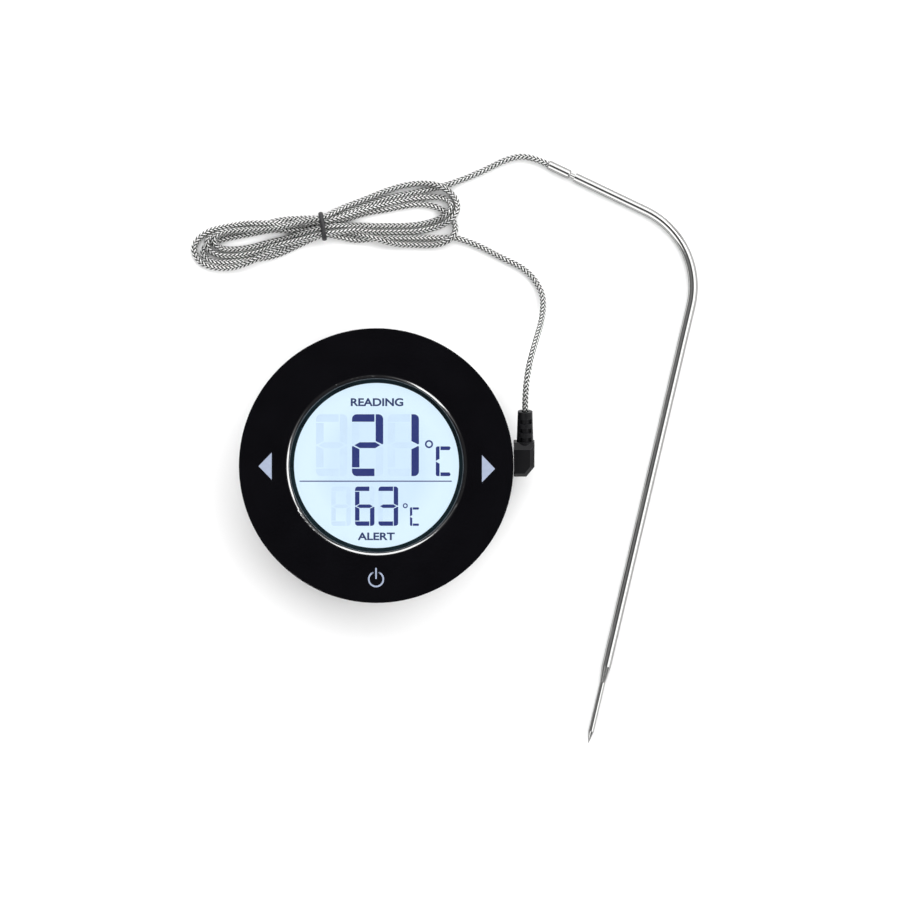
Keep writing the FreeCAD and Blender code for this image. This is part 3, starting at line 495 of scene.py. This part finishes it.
def surface(name, colour, roughness, metallic=0.0, grain_size=0.0006, depth=0.000004):
    """A moulded, rubbed or plated surface: blotches of colour and gloss, and a fine grain."""
    mat, nodes, links, shader = new_material(name)
    place = object_place(nodes)
    blotches = grain(nodes, links, place, BLOTCH)
    dark = tuple(c * (1 - BLOTCH_SPREAD) for c in colour)
    light = tuple(min(1.0, c * (1 + BLOTCH_SPREAD)) for c in colour)
    links.new(shades(nodes, links, blotches, dark, light), shader.inputs["Base Color"])
    rough = between(nodes, links, blotches, roughness * (1 - BLOTCH_SPREAD), roughness * (1 + BLOTCH_SPREAD))
    links.new(rough, shader.inputs["Roughness"])
    shader.inputs["Metallic"].default_value = metallic
    bumped(nodes, links, grain(nodes, links, place, grain_size), depth, shader)
    return mat


PAINTED_HIGHLIGHT_NORMALS = (0.995, 0.93)   # likeness of the true and the rounded normal where the painted edge highlight starts and is full


def painted_edge_highlight(mat, colour, width):
    """Lightens a surface along its edges: a painted edge highlight."""
    nodes, links = mat.node_tree.nodes, mat.node_tree.links
    shader = nodes["Principled BSDF"]
    soft = nodes.new("ShaderNodeBevel")
    soft.samples = 6
    soft.inputs["Radius"].default_value = width
    alike = nodes.new("ShaderNodeVectorMath")
    alike.operation = "DOT_PRODUCT"
    links.new(soft.outputs["Normal"], alike.inputs[0])
    links.new(nodes.new("ShaderNodeNewGeometry").outputs["Normal"], alike.inputs[1])
    highlight_share = nodes.new("ShaderNodeMapRange")
    highlight_share.inputs["From Min"].default_value = PAINTED_HIGHLIGHT_NORMALS[0]
    highlight_share.inputs["From Max"].default_value = PAINTED_HIGHLIGHT_NORMALS[1]
    links.new(alike.outputs["Value"], highlight_share.inputs["Value"])
    mix = nodes.new("ShaderNodeMix")
    mix.data_type = "RGBA"
    colour_in = shader.inputs["Base Color"].links[0].from_socket
    links.new(highlight_share.outputs["Result"], mix.inputs["Factor"])
    links.new(colour_in, mix.inputs["A"])
    mix.inputs["B"].default_value = (*colour, 1)
    links.new(mix.outputs["Result"], shader.inputs["Base Color"])
    shader.inputs["Specular IOR Level"].default_value = 0.15
    return mat


def gloss_black():
    """Polished moulding: near black, with faint wiping marks in its gloss."""
    mat, nodes, links, shader = new_material("gloss_face")
    place = object_place(nodes)
    wipes = grain(nodes, links, place, 0.012, 5)
    links.new(shades(nodes, links, wipes, (0.0020, 0.0019, 0.0027), (0.0030, 0.0029, 0.0040)),
              shader.inputs["Base Color"])
    links.new(between(nodes, links, wipes, 0.02, 0.06), shader.inputs["Roughness"])
    return mat


def clear_acrylic():
    """See-through, with a gloss that grows at a slant. Only outer faces have it, because light that
    goes straight through would find a full mirror on the inside of the far face."""
    mat, nodes, links, shader = new_material("clear_lens")
    nodes.remove(shader)
    see = nodes.new("ShaderNodeBsdfTransparent")
    see.inputs["Color"].default_value = (0.97, 0.985, 0.99, 1)
    gloss = nodes.new("ShaderNodeBsdfGlossy")
    gloss.inputs["Roughness"].default_value = 0.02
    fresnel = nodes.new("ShaderNodeFresnel")
    fresnel.inputs["IOR"].default_value = 1.42
    facing_back = nodes.new("ShaderNodeNewGeometry").outputs["Backfacing"]
    outer = maths(nodes, links, "SUBTRACT", 1.0, facing_back)
    gloss_share = maths(nodes, links, "MULTIPLY", fresnel.outputs["Fac"], outer)
    mix = nodes.new("ShaderNodeMixShader")
    links.new(gloss_share, mix.inputs["Fac"])
    links.new(see.outputs["BSDF"], mix.inputs[1])
    links.new(gloss.outputs["BSDF"], mix.inputs[2])
    links.new(mix.outputs["Shader"], nodes["Material Output"].inputs["Surface"])
    return mat


GLOW_FROM, GLOW_TO = 0.010, 0.027    # radii between which the backlight grows


def lit_display():
    """The display's backlit glass: pale blue, a little brighter and greener towards its rim."""
    mat, nodes, links, shader = new_material("lit_display")
    place = object_place(nodes)
    length = nodes.new("ShaderNodeVectorMath")
    length.operation = "LENGTH"
    flat = nodes.new("ShaderNodeVectorMath")
    flat.operation = "MULTIPLY"
    flat.inputs[1].default_value = (1, 1, 0)
    links.new(place, flat.inputs[0])
    links.new(flat.outputs["Vector"], length.inputs[0])
    outwards = nodes.new("ShaderNodeMapRange")
    outwards.inputs["From Min"].default_value = GLOW_FROM
    outwards.inputs["From Max"].default_value = GLOW_TO
    links.new(length.outputs["Value"], outwards.inputs["Value"])
    glow = shades(nodes, links, outwards.outputs["Result"], (0.600, 0.735, 0.890), (0.680, 0.815, 0.930))
    links.new(glow, shader.inputs["Emission Color"])
    shader.inputs["Emission Strength"].default_value = 1.0
    shader.inputs["Base Color"].default_value = (0.10, 0.12, 0.13, 1)
    shader.inputs["Roughness"].default_value = 0.35
    return mat


def segment_ink(name, colour):
    """Ink of a display: it shows the backlight through its own colour."""
    mat, nodes, links, shader = new_material(name)
    cloud = grain(nodes, links, object_place(nodes), 0.003)
    dark = tuple(c * 0.94 for c in colour)
    links.new(shades(nodes, links, cloud, dark, colour), shader.inputs["Emission Color"])
    shader.inputs["Emission Strength"].default_value = 1.0
    shader.inputs["Base Color"].default_value = (*[c * 0.15 for c in colour], 1)
    shader.inputs["Roughness"].default_value = 0.5
    return mat


WIRES_IN_BAND = 4


def braid_wire():
    """A band of parallel bright wires, with painted shade at its edges, in the grooves between its wires and
    where it dives under the others.
    Along its UV map, X runs across the band and Y is 1 where the band is deepest."""
    mat, nodes, links, shader = new_material("braid_wire")
    uv = nodes.new("ShaderNodeUVMap")
    uv.uv_map = "lay"
    split = nodes.new("ShaderNodeSeparateXYZ")
    links.new(uv.outputs["UV"], split.inputs["Vector"])
    across, dive_shade = split.outputs["X"], split.outputs["Y"]
    turns = maths(nodes, links, "MULTIPLY", across, WIRES_IN_BAND * 2 * math.pi)
    wires = maths(nodes, links, "COSINE", turns)
    ridge = maths(nodes, links, "MULTIPLY_ADD", wires, -0.5, 0.5)
    middle = maths(nodes, links, "SINE", maths(nodes, links, "MULTIPLY", across, math.pi))
    # painted shade: the colour falls to near black where the band dives under, towards its edges and between
    # its wires
    high = between(nodes, links, dive_shade, 1.25, -0.15)
    lit = maths(nodes, links, "POWER", middle, 0.7)
    light = maths(nodes, links, "MULTIPLY", lit, maths(nodes, links, "MAXIMUM", high, 0.0))
    light = maths(nodes, links, "MULTIPLY", light, between(nodes, links, ridge, 0.65, 1.0))
    colour = shades(nodes, links, light, (0.030, 0.030, 0.030), (0.90, 0.90, 0.89))
    links.new(colour, shader.inputs["Base Color"])
    shader.inputs["Metallic"].default_value = 1.0
    shader.inputs["Roughness"].default_value = 0.28
    bumped(nodes, links, ridge, 0.00003, shader)
    return mat


def polished_steel(name, colour, roughness):
    """Polished steel, faintly uneven, that darkens at a slant."""
    mat, nodes, links, shader = new_material(name)
    place = object_place(nodes)
    fine = grain(nodes, links, place, 0.0009, 6)
    dark = tuple(c * 0.96 for c in colour)
    links.new(shades(nodes, links, fine, dark, colour), shader.inputs["Base Color"])
    links.new(between(nodes, links, fine, roughness * 0.7, roughness * 1.3), shader.inputs["Roughness"])
    shader.inputs["Metallic"].default_value = 1.0
    shader.inputs["Specular Tint"].default_value = (0.0, 0.0, 0.0, 1)
    return mat


def board_mask():
    """Green solder mask over copper tracks."""
    mat, nodes, links, shader = new_material("board_green")
    cells = nodes.new("ShaderNodeTexVoronoi")
    cells.feature = "DISTANCE_TO_EDGE"
    cells.distance = "MANHATTAN"
    cells.inputs["Scale"].default_value = 260
    links.new(object_place(nodes), cells.inputs["Vector"])
    tracks = nodes.new("ShaderNodeMapRange")
    tracks.inputs["From Max"].default_value = 0.12
    links.new(cells.outputs["Distance"], tracks.inputs["Value"])
    links.new(shades(nodes, links, tracks.outputs["Result"], (0.05, 0.25, 0.11), (0.02, 0.13, 0.055)),
              shader.inputs["Base Color"])
    shader.inputs["Roughness"].default_value = 0.35
    bumped(nodes, links, tracks.outputs["Result"], 0.00003, shader)
    return mat


def dress(mat, *names):
    """Gives a CAD node its material, through its object's slots."""
    for name in names:
        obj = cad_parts[name]
        if not obj.material_slots:
            obj.data.materials.append(mat)
        for slot in obj.material_slots:
            slot.link = "OBJECT"
            slot.material = mat


PLAIN_SURFACES = [       # material, colour, roughness, how metallic, and the nodes that have it
    ("rear_glass", (0.70, 0.82, 0.88), 0.12, 0, "lcd_rear_glass"),
    ("light_guide", (0.88, 0.92, 0.95), 0.25, 0, "light_guide"),
    ("white_frame", (0.80, 0.80, 0.78), 0.45, 0, "lcd_frame"),
    ("led", (0.88, 0.84, 0.60), 0.25, 0, "backlight_leds"),
    ("grey_rubber", (0.30, 0.30, 0.31), 0.7, 0, "rubber_connector"),
    ("adhesive_foam", (0.03, 0.03, 0.03), 0.85, 0, "lens_gasket"),
    ("chip_black", (0.022, 0.022, 0.022), 0.6, 0, "controller_chip", "jack_socket", "plug_insulator"),
    ("tin_can", (0.62, 0.62, 0.60), 0.3, 1, "quartz_crystal", "buzzer", "filter_capacitor"),
    ("zinc_screw", (0.60, 0.60, 0.62), 0.32, 1, "board_screws", "housing_screws"),
    ("spring_contact", (0.72, 0.69, 0.60), 0.22, 1, "battery_contact_bridge", "battery_contact_plus",
     "battery_contact_minus", "jack_tip_contact", "jack_sleeve_contact"),
    ("magnet", (0.66, 0.66, 0.68), 0.2, 1, "magnet_left", "magnet_right"),
    ("cell_jacket", (0.16, 0.18, 0.22), 0.3, 0.4, "battery_1", "battery_2"),
    ("hinge_steel", (0.58, 0.58, 0.58), 0.28, 1, "stand_hinge_pin"),
    ("plug_metal", (0.78, 0.77, 0.74), 0.15, 1, "plug_sleeve", "plug_tip"),
    ("sensor_bead", (0.35, 0.10, 0.05), 0.2, 0, "thermistor"),
    ("wire_sleeve", (0.75, 0.73, 0.66), 0.55, 0, "sensor_wires"),
]


def dress_all():
    shell = surface("matte_shell", (0.010, 0.010, 0.012), 0.50, depth=0.000012, grain_size=0.0004)
    plug = surface("plug_black", (0.005, 0.005, 0.006), 0.34, depth=0.000006, grain_size=0.0003)
    boot = surface("boot_rubber", (0.004, 0.004, 0.005), 0.42, depth=0.000008)
    foam = surface("conductive_foam", (0.07, 0.07, 0.08), 0.8, depth=0.00004)
    steel = polished_steel("probe_steel", (0.43, 0.43, 0.425), 0.08)
    dress(gloss_black(), "front_bezel")
    dress(shell, "rear_housing", "battery_door", "stand")
    # the plug's and the boot's lighter edges are painted highlights
    dress(painted_edge_highlight(plug, (0.045, 0.045, 0.050), 0.00025), "plug_body")
    dress(painted_edge_highlight(boot, (0.030, 0.030, 0.034), 0.00018), "plug_boot")
    dress(clear_acrylic(), "display_lens")
    dress(lit_display(), "lcd_front_glass")
    dress(foam, "touch_pad_left", "touch_pad_right", "touch_pad_power")
    dress(board_mask(), "circuit_board")
    dress(steel, "crimp_ferrule", "probe_tube", "probe_tip")
    for name, colour, roughness, metallic, *nodes in PLAIN_SURFACES:
        dress(surface(name, colour, roughness, metallic), *nodes)


# ================================ display ================================
FACE_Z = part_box("front_bezel")[1].z
GLASS_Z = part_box("lcd_front_glass")[1].z
SEGMENT_TOP = GLASS_Z + 0.00006
IDLE_TOP = GLASS_Z + 0.00003
CORNER_STEPS = 6


def plates(name, outlines, low, high, mat):
    """Thin flat shapes, each a convex outline given counterclockwise, as one piece."""
    points, faces = [], []
    for outline in outlines:
        base, n = len(points), len(outline)
        points += [(x, y, low) for x, y in outline] + [(x, y, high) for x, y in outline]
        faces.append(tuple(range(base + n, base + 2 * n)))
        faces.append(tuple(reversed(range(base, base + n))))
        faces += [(base + k, base + (k + 1) % n, base + n + (k + 1) % n, base + n + k) for k in range(n)]
    piece(name, points, faces, mat, "unit", smooth=False)


def rounded(centre, r, a0):
    """A rounded corner of an outline: a quarter turn about a centre, from a0 degrees."""
    turns = [math.radians(a0 + 90 * k / CORNER_STEPS) for k in range(CORNER_STEPS + 1)]
    return [(centre[0] + r * math.cos(t), centre[1] + r * math.sin(t)) for t in turns]


def digit_segments(x0, x1, y0, y1, stroke):
    """The seven segments of a digit, a to g as usual, with their proportions in strokes. The right-hand
    uprights own their outer corners, and the top and bottom bars own the left-hand ones."""
    s, gap, r = stroke, 0.16 * stroke, 0.65 * stroke
    mid, half_g, nib = (y0 + y1) / 2, 0.39 * stroke, 0.1 * stroke
    bar_end = x1 - s - gap
    top = rounded((x0 + r, y1 - r), r, 90)
    bottom = rounded((x0 + r, y0 + r), r, 180)
    upper = rounded((x1 - r, y1 - r), r, 0)
    lower = rounded((x1 - r, y0 + r), r, 270)
    inner, tip = mid + 0.54 * s, mid + nib
    inner_low, tip_low = 2 * mid - inner, 2 * mid - tip
    g_left, g_right = x0 + 1.05 * s, x1 - 1.05 * s
    return {
        "a": [(x0, y1 - s), (bar_end, y1 - s), (bar_end, y1)] + top,
        "b": [(x1 - s, inner), (x1 - nib, tip), (x1, tip + nib)] + upper + [(x1 - s, y1)],
        "c": [(x1 - s, y0)] + lower + [(x1, tip_low - nib), (x1 - nib, tip_low), (x1 - s, inner_low)],
        "d": bottom + [(bar_end, y0), (bar_end, y0 + s), (x0, y0 + s)],
        "e": [(x0, y0 + s + gap), (x0 + s, y0 + s + gap), (x0 + s, inner_low), (x0 + nib, tip_low),
              (x0, tip_low - nib)],
        "f": [(x0, tip + nib), (x0 + nib, tip), (x0 + s, inner), (x0 + s, y1 - s - gap),
              (x0, y1 - s - gap)],
        "g": [(x0 + 0.32 * s, mid), (g_left, mid - half_g), (g_right, mid - half_g),
              (x1 - 0.38 * s, mid), (g_right, mid + half_g), (g_left, mid + half_g)],
    }


SEGMENTS_LIT = {"1": "bc", "2": "abged", "3": "abgcd", "6": "afgecd"}


def c_glyph(x0, x1, y0, y1, stroke):
    """The C after a degree ring: two uprights and two bars."""
    s, gap, r = stroke, 0.25 * stroke, 0.5 * stroke
    mid, nib, notch = (y0 + y1) / 2, 0.1 * s, 0.55 * s
    top = rounded((x0 + r, y1 - r), r, 90)
    bottom = rounded((x0 + r, y0 + r), r, 180)
    end_up = rounded((x1 - r, y1 - r), r, 0)
    end_down = rounded((x1 - r, y0 + r), r, 270)
    return [
        [(x0, mid + nib), (x0 + s, mid + nib + notch), (x0 + s, y1)] + top,
        bottom + [(x0 + s, y0), (x0 + s, mid - nib - notch), (x0, mid - nib)],
        [(x0 + s + gap, y1 - s), (x1 - 0.3 * s, y1 - s)] + end_up + [(x0 + s + gap, y1)],
        [(x0 + s + gap, y0)] + end_down + [(x1 - 0.3 * s, y0 + s), (x0 + s + gap, y0 + s)],
    ]


def arc_band(x, y, r, stroke, steps, a0=0, a1=360):
    """A round stroke about a centre, from a0 to a1 degrees, as a row of small outlines."""
    inside, outside = r - stroke / 2, r + stroke / 2
    turn = [math.radians(a0 + (a1 - a0) * k / steps) for k in range(steps + 1)]
    spots = [(math.cos(t), math.sin(t)) for t in turn]
    return [[(x + inside * c0, y + inside * s0), (x + outside * c0, y + outside * s0),
             (x + outside * c1, y + outside * s1), (x + inside * c1, y + inside * s1)]
            for (c0, s0), (c1, s1) in zip(spots, spots[1:])]


# ---- what the display shows, about the unit's middle: corners are x0, x1, y0, y1 ----
BIG_STROKE, SMALL_STROKE = 0.00246, 0.00145
BIG_DIGITS = [(-0.00805, 0.00219, "2"), (0.00367, 0.01391, "1")]
SMALL_DIGITS = [(-0.00704, -0.00067, "6"), (0.00065, 0.00710, "3")]
BIG_Y = (-0.00348, 0.01681)
SMALL_Y = (-0.01978, -0.00691)
IDLE_DIGITS = [(-0.01980, -0.00956, BIG_Y, BIG_STROKE), (-0.01480, -0.00843, SMALL_Y, SMALL_STROKE)]
BIG_C = (0.01945, 0.02428, -0.00348, 0.00627, 0.00122)      # corners and stroke
SMALL_C = (0.01097, 0.01396, -0.01978, -0.01372, 0.00074)
BIG_DEGREE = (0.01721, 0.00701, 0.00106, 0.00054)           # centre, radius and stroke
SMALL_DEGREE = (0.00944, -0.01319, 0.00063, 0.00038)
DIVIDER = [(-0.0252, -0.00532), (0.0247, -0.00532), (0.0247, -0.00497), (-0.0252, -0.00497)]
WORDS = [("label_reading", "READING", -0.00844, 0.00877, 0.01944, 0.02208),
         ("label_alert", "ALERT", -0.00620, 0.00600, -0.02448, -0.02197)]
WORD_BOLDNESS = 0.03


def display_segments():
    """The reading, the alert temperature, their units and the line between them, and the segments that
    are off."""
    ink = segment_ink("segments_on", (0.006, 0.016, 0.150))
    ghost = segment_ink("segments_off", (0.588, 0.722, 0.874))
    on, off = [], []
    for cells, (y0, y1), stroke in ((BIG_DIGITS, BIG_Y, BIG_STROKE), (SMALL_DIGITS, SMALL_Y, SMALL_STROKE)):
        for x0, x1, digit in cells:
            for key, outline in digit_segments(x0, x1, y0, y1, stroke).items():
                (on if key in SEGMENTS_LIT[digit] else off).append(outline)
    for x0, x1, (y0, y1), stroke in IDLE_DIGITS:
        off += digit_segments(x0, x1, y0, y1, stroke).values()
    on += c_glyph(*BIG_C)
    on += c_glyph(*SMALL_C)
    on += arc_band(*BIG_DEGREE, 32)
    on += arc_band(*SMALL_DEGREE, 24)
    on.append(DIVIDER)
    plates("display_segments", on, GLASS_Z, SEGMENT_TOP, ink)
    plates("display_idle_segments", off, GLASS_Z, IDLE_TOP, ghost)


def label(name, words, x0, x1, y0, y1, mat):
    """Generic words, fitted between two corners, as a flat piece."""
    text = bpy.data.curves.new(name, "FONT")
    text.body = words
    text.offset = WORD_BOLDNESS
    holder = bpy.data.objects.new(name, text)
    bpy.context.scene.collection.objects.link(holder)
    bpy.context.view_layer.update()
    mesh = bpy.data.meshes.new_from_object(holder)
    bpy.data.objects.remove(holder)
    spots = np.array([v.co for v in mesh.vertices], float)
    low, high = spots.min(0), spots.max(0)
    x = x0 + (spots[:, 0] - low[0]) / (high[0] - low[0]) * (x1 - x0)
    y = y0 + (spots[:, 1] - low[1]) / (high[1] - low[1]) * (y1 - y0)
    points = np.stack([x, y, np.full(len(x), SEGMENT_TOP)], 1)
    faces = [tuple(p.vertices) for p in mesh.polygons]
    bpy.data.meshes.remove(mesh)
    piece(name, points, faces, mat, "unit", smooth=False)


def labels():
    ink = segment_ink("label_ink", (0.010, 0.025, 0.110))
    for name, words, x0, x1, y0, y1 in WORDS:
        label(name, words, x0, x1, y0, y1, ink)


BORDER_RADIUS, BORDER_WIDTH = 0.028775, 0.00345
BORDER_LOW, BORDER_HIGH = GLASS_Z + 0.00010, GLASS_Z + 0.00015


def lens_mask():
    """The dark, slightly teal border round the display, under the lens."""
    mat, nodes, links, shader = new_material("lens_mask")
    haze = grain(nodes, links, object_place(nodes), 0.006)
    colour = shades(nodes, links, haze, (0.006, 0.012, 0.016), (0.012, 0.026, 0.032))
    links.new(colour, shader.inputs["Base Color"])
    shader.inputs["Roughness"].default_value = 0.12
    outlines = arc_band(0, 0, BORDER_RADIUS, BORDER_WIDTH, 180)
    plates("lens_border", outlines, BORDER_LOW, BORDER_HIGH, mat)


# ================================ keys ================================
def print_ink():
    """Screen-printed ink on the face: flat and slightly uneven."""
    mat, nodes, links, shader = new_material("key_print")
    haze = grain(nodes, links, object_place(nodes), 0.0012)
    links.new(shades(nodes, links, haze, (0.29, 0.34, 0.45), (0.33, 0.38, 0.50)), shader.inputs["Base Color"])
    shader.inputs["Roughness"].default_value = 0.4
    return mat


ARROW_HALF, ARROW_DEEP = 0.00445, 0.00215      # half of its height, and half of its depth
ARROWS = [("key_left", -0.0364, -0.0002, -1), ("key_right", 0.0367, -0.00105, 1)]
POWER_PLACE = (-0.0001, -0.0372)
POWER_RADIUS, POWER_STROKE = 0.00238, 0.00052
POWER_FROM, POWER_TO = 118, 422                # degrees
POWER_BAR = (0.0001, 0.0035)                   # from and to, above the sign's middle
PRINT_LOW, PRINT_HIGH = FACE_Z - 0.00002, FACE_Z + 0.00003


def dot(x, y, r):
    return [(x + r * math.cos(t), y + r * math.sin(t)) for t in np.arange(12) * math.pi / 6]


def power_sign(x, y):
    """The broken ring with round ends, and its bar with a round top."""
    half = POWER_STROKE / 2
    outlines = arc_band(x, y, POWER_RADIUS, POWER_STROKE, 48, POWER_FROM, POWER_TO)
    for end in (math.radians(POWER_FROM), math.radians(POWER_TO)):
        outlines.append(dot(x + POWER_RADIUS * math.cos(end), y + POWER_RADIUS * math.sin(end), half))
    foot = [(x - half, y + POWER_BAR[0]), (x + half, y + POWER_BAR[0])]
    bow = np.linspace(0, math.pi, 7)
    top = [(x + half * math.cos(t), y + POWER_BAR[1] + half * math.sin(t)) for t in bow]
    return outlines + [foot + top]


def keys():
    """The printed touch keys: an arrow each side and the power sign below the window."""
    ink = print_ink()
    for name, x, y, way in ARROWS:
        tip, back = x + way * ARROW_DEEP, x - way * ARROW_DEEP
        corners = [(tip, y), (back, y + way * ARROW_HALF), (back, y - way * ARROW_HALF)]
        plates(name, [corners], PRINT_LOW, PRINT_HIGH, ink)
    plates("key_power", power_sign(*POWER_PLACE), PRINT_LOW, PRINT_HIGH, ink)


# ================================ studio ================================
FLOOR_REACH = 3.0


def floor():
    """A plain pale floor."""
    mat, nodes, links, shader = new_material("floor")
    soft = grain(nodes, links, object_place(nodes), 0.05)
    colour = shades(nodes, links, soft, (0.90, 0.90, 0.90), (0.91, 0.91, 0.91))
    links.new(colour, shader.inputs["Base Color"])
    shader.inputs["Roughness"].default_value = 0.8
    shader.inputs["Specular IOR Level"].default_value = 0.1
    mesh = bpy.data.meshes.new("floor")
    r = FLOOR_REACH
    mesh.from_pydata([(-r, -r, 0), (r, -r, 0), (r, r, 0), (-r, r, 0)], [], [(0, 1, 2, 3)])
    mesh.materials.append(mat)
    obj = bpy.data.objects.new("floor", mesh)
    bpy.context.scene.collection.objects.link(obj)
    return obj


def softbox(name, azimuth, elevation, wide, high, radiance, distance):
    """A large lamp that looks at the object from that direction in degrees, and spans wide by high
    degrees of what the object sees."""
    data = bpy.data.lights.new(name, "AREA")
    data.shape = "RECTANGLE"
    data.size = 2 * distance * math.tan(math.radians(wide / 2))
    data.size_y = 2 * distance * math.tan(math.radians(high / 2))
    data.energy = radiance * math.pi * data.size * data.size_y
    obj = bpy.data.objects.new(name, data)
    a, e = math.radians(azimuth), math.radians(elevation)
    obj.location = (distance * math.cos(e) * math.cos(a), distance * math.cos(e) * math.sin(a),
                    distance * math.sin(e))
    obj.rotation_euler = (math.pi / 2 - e, 0, a + math.pi / 2)
    bpy.context.scene.collection.objects.link(obj)
    return obj


SKY = [                  # height, from 0 at the horizon to 1 straight above, and grey
    (0.0, 0.12), (0.10, 0.10), (0.35, 0.32), (0.85, 0.38), (0.94, 0.32), (0.990, 0.30), (0.996, 0.03),
    (1.0, 0.03),
]


def sky():
    """Soft light from all round, darker straight above, so that the flat gloss face stays black."""
    world = bpy.data.worlds.new("studio")
    bpy.context.scene.world = world
    world.use_nodes = True
    nodes, links = world.node_tree.nodes, world.node_tree.links
    split = nodes.new("ShaderNodeSeparateXYZ")
    links.new(nodes.new("ShaderNodeTexCoord").outputs["Generated"], split.inputs["Vector"])
    ramp = nodes.new("ShaderNodeValToRGB")
    stops = ramp.color_ramp.elements
    for position, _ in SKY[1:-1]:
        stops.new(position)
    for stop, (_, grey) in zip(stops, SKY):
        stop.color = (grey, grey, grey, 1)
    links.new(split.outputs["Z"], ramp.inputs["Fac"])
    links.new(ramp.outputs["Color"], nodes["Background"].inputs["Color"])


SOFTBOXES = [            # azimuth, elevation, width and height, in degrees
    ("softbox_back", 93, 38, 92, 55), ("softbox_right", 6, 38, 54, 55),
    ("softbox_front_left", 232, 38, 34, 55),
]
RADIANCE, DISTANCE = 2.3, 1.3
GLOSS_RADIANCE, GLOSS_DISTANCE = 22, 1.25
GLOSS_WIDTH, GLOSS_HEIGHT = 0.55, 0.9          # of the softbox behind it
FILL_SPAN, FILL_RADIANCE, FILL_DISTANCE = 60, 0.6, 2.2


def only(name, obj):
    """A collection of one object, for a lamp that lights nothing else."""
    group = bpy.data.collections.new(name)
    group.objects.link(obj)
    return group


def studio():
    """Three softboxes, which the glossy face alone sees much brighter, as a lamp is in a polished lip,
    and a lamp straight above that lights only the floor."""
    sky()
    face_only = only("glossy_face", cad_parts["front_bezel"])
    for name, azimuth, elevation, wide, high in SOFTBOXES:
        softbox(name, azimuth, elevation, wide, high, RADIANCE, DISTANCE)
        bright = softbox(name + "_gloss", azimuth, elevation, GLOSS_WIDTH * wide, GLOSS_HEIGHT * high,
                         GLOSS_RADIANCE, GLOSS_DISTANCE)
        bright.light_linking.receiver_collection = face_only
        bright.visible_diffuse = False
    fill = softbox("floor_fill", 0, 90, FILL_SPAN, FILL_SPAN, FILL_RADIANCE, FILL_DISTANCE)
    fill.light_linking.receiver_collection = only("floor_only", floor())
    bpy.context.scene.view_settings.view_transform = "Standard"


def camera():
    """Looks straight down, as the photograph does."""
    data = bpy.data.cameras.new("camera")
    data.lens = CAMERA_LENS
    data.clip_end = 20
    obj = bpy.data.objects.new("camera", data)
    obj.location = CAMERA_PLACE
    bpy.context.scene.collection.objects.link(obj)
    bpy.context.scene.camera = obj


def main():
    camera()
    # the core's near-black colour is painted shade in the gaps of the braid
    core = surface("braid_core", (0.025, 0.025, 0.024), 0.6)
    braid, line = lead(braid_wire(), core)
    tie = tie_band(line, surface("tie_rubber", (0.012, 0.012, 0.014), 0.5, depth=0.00002))
    dress_all()
    display_segments()
    labels()
    lens_mask()
    keys()
    studio()


main()
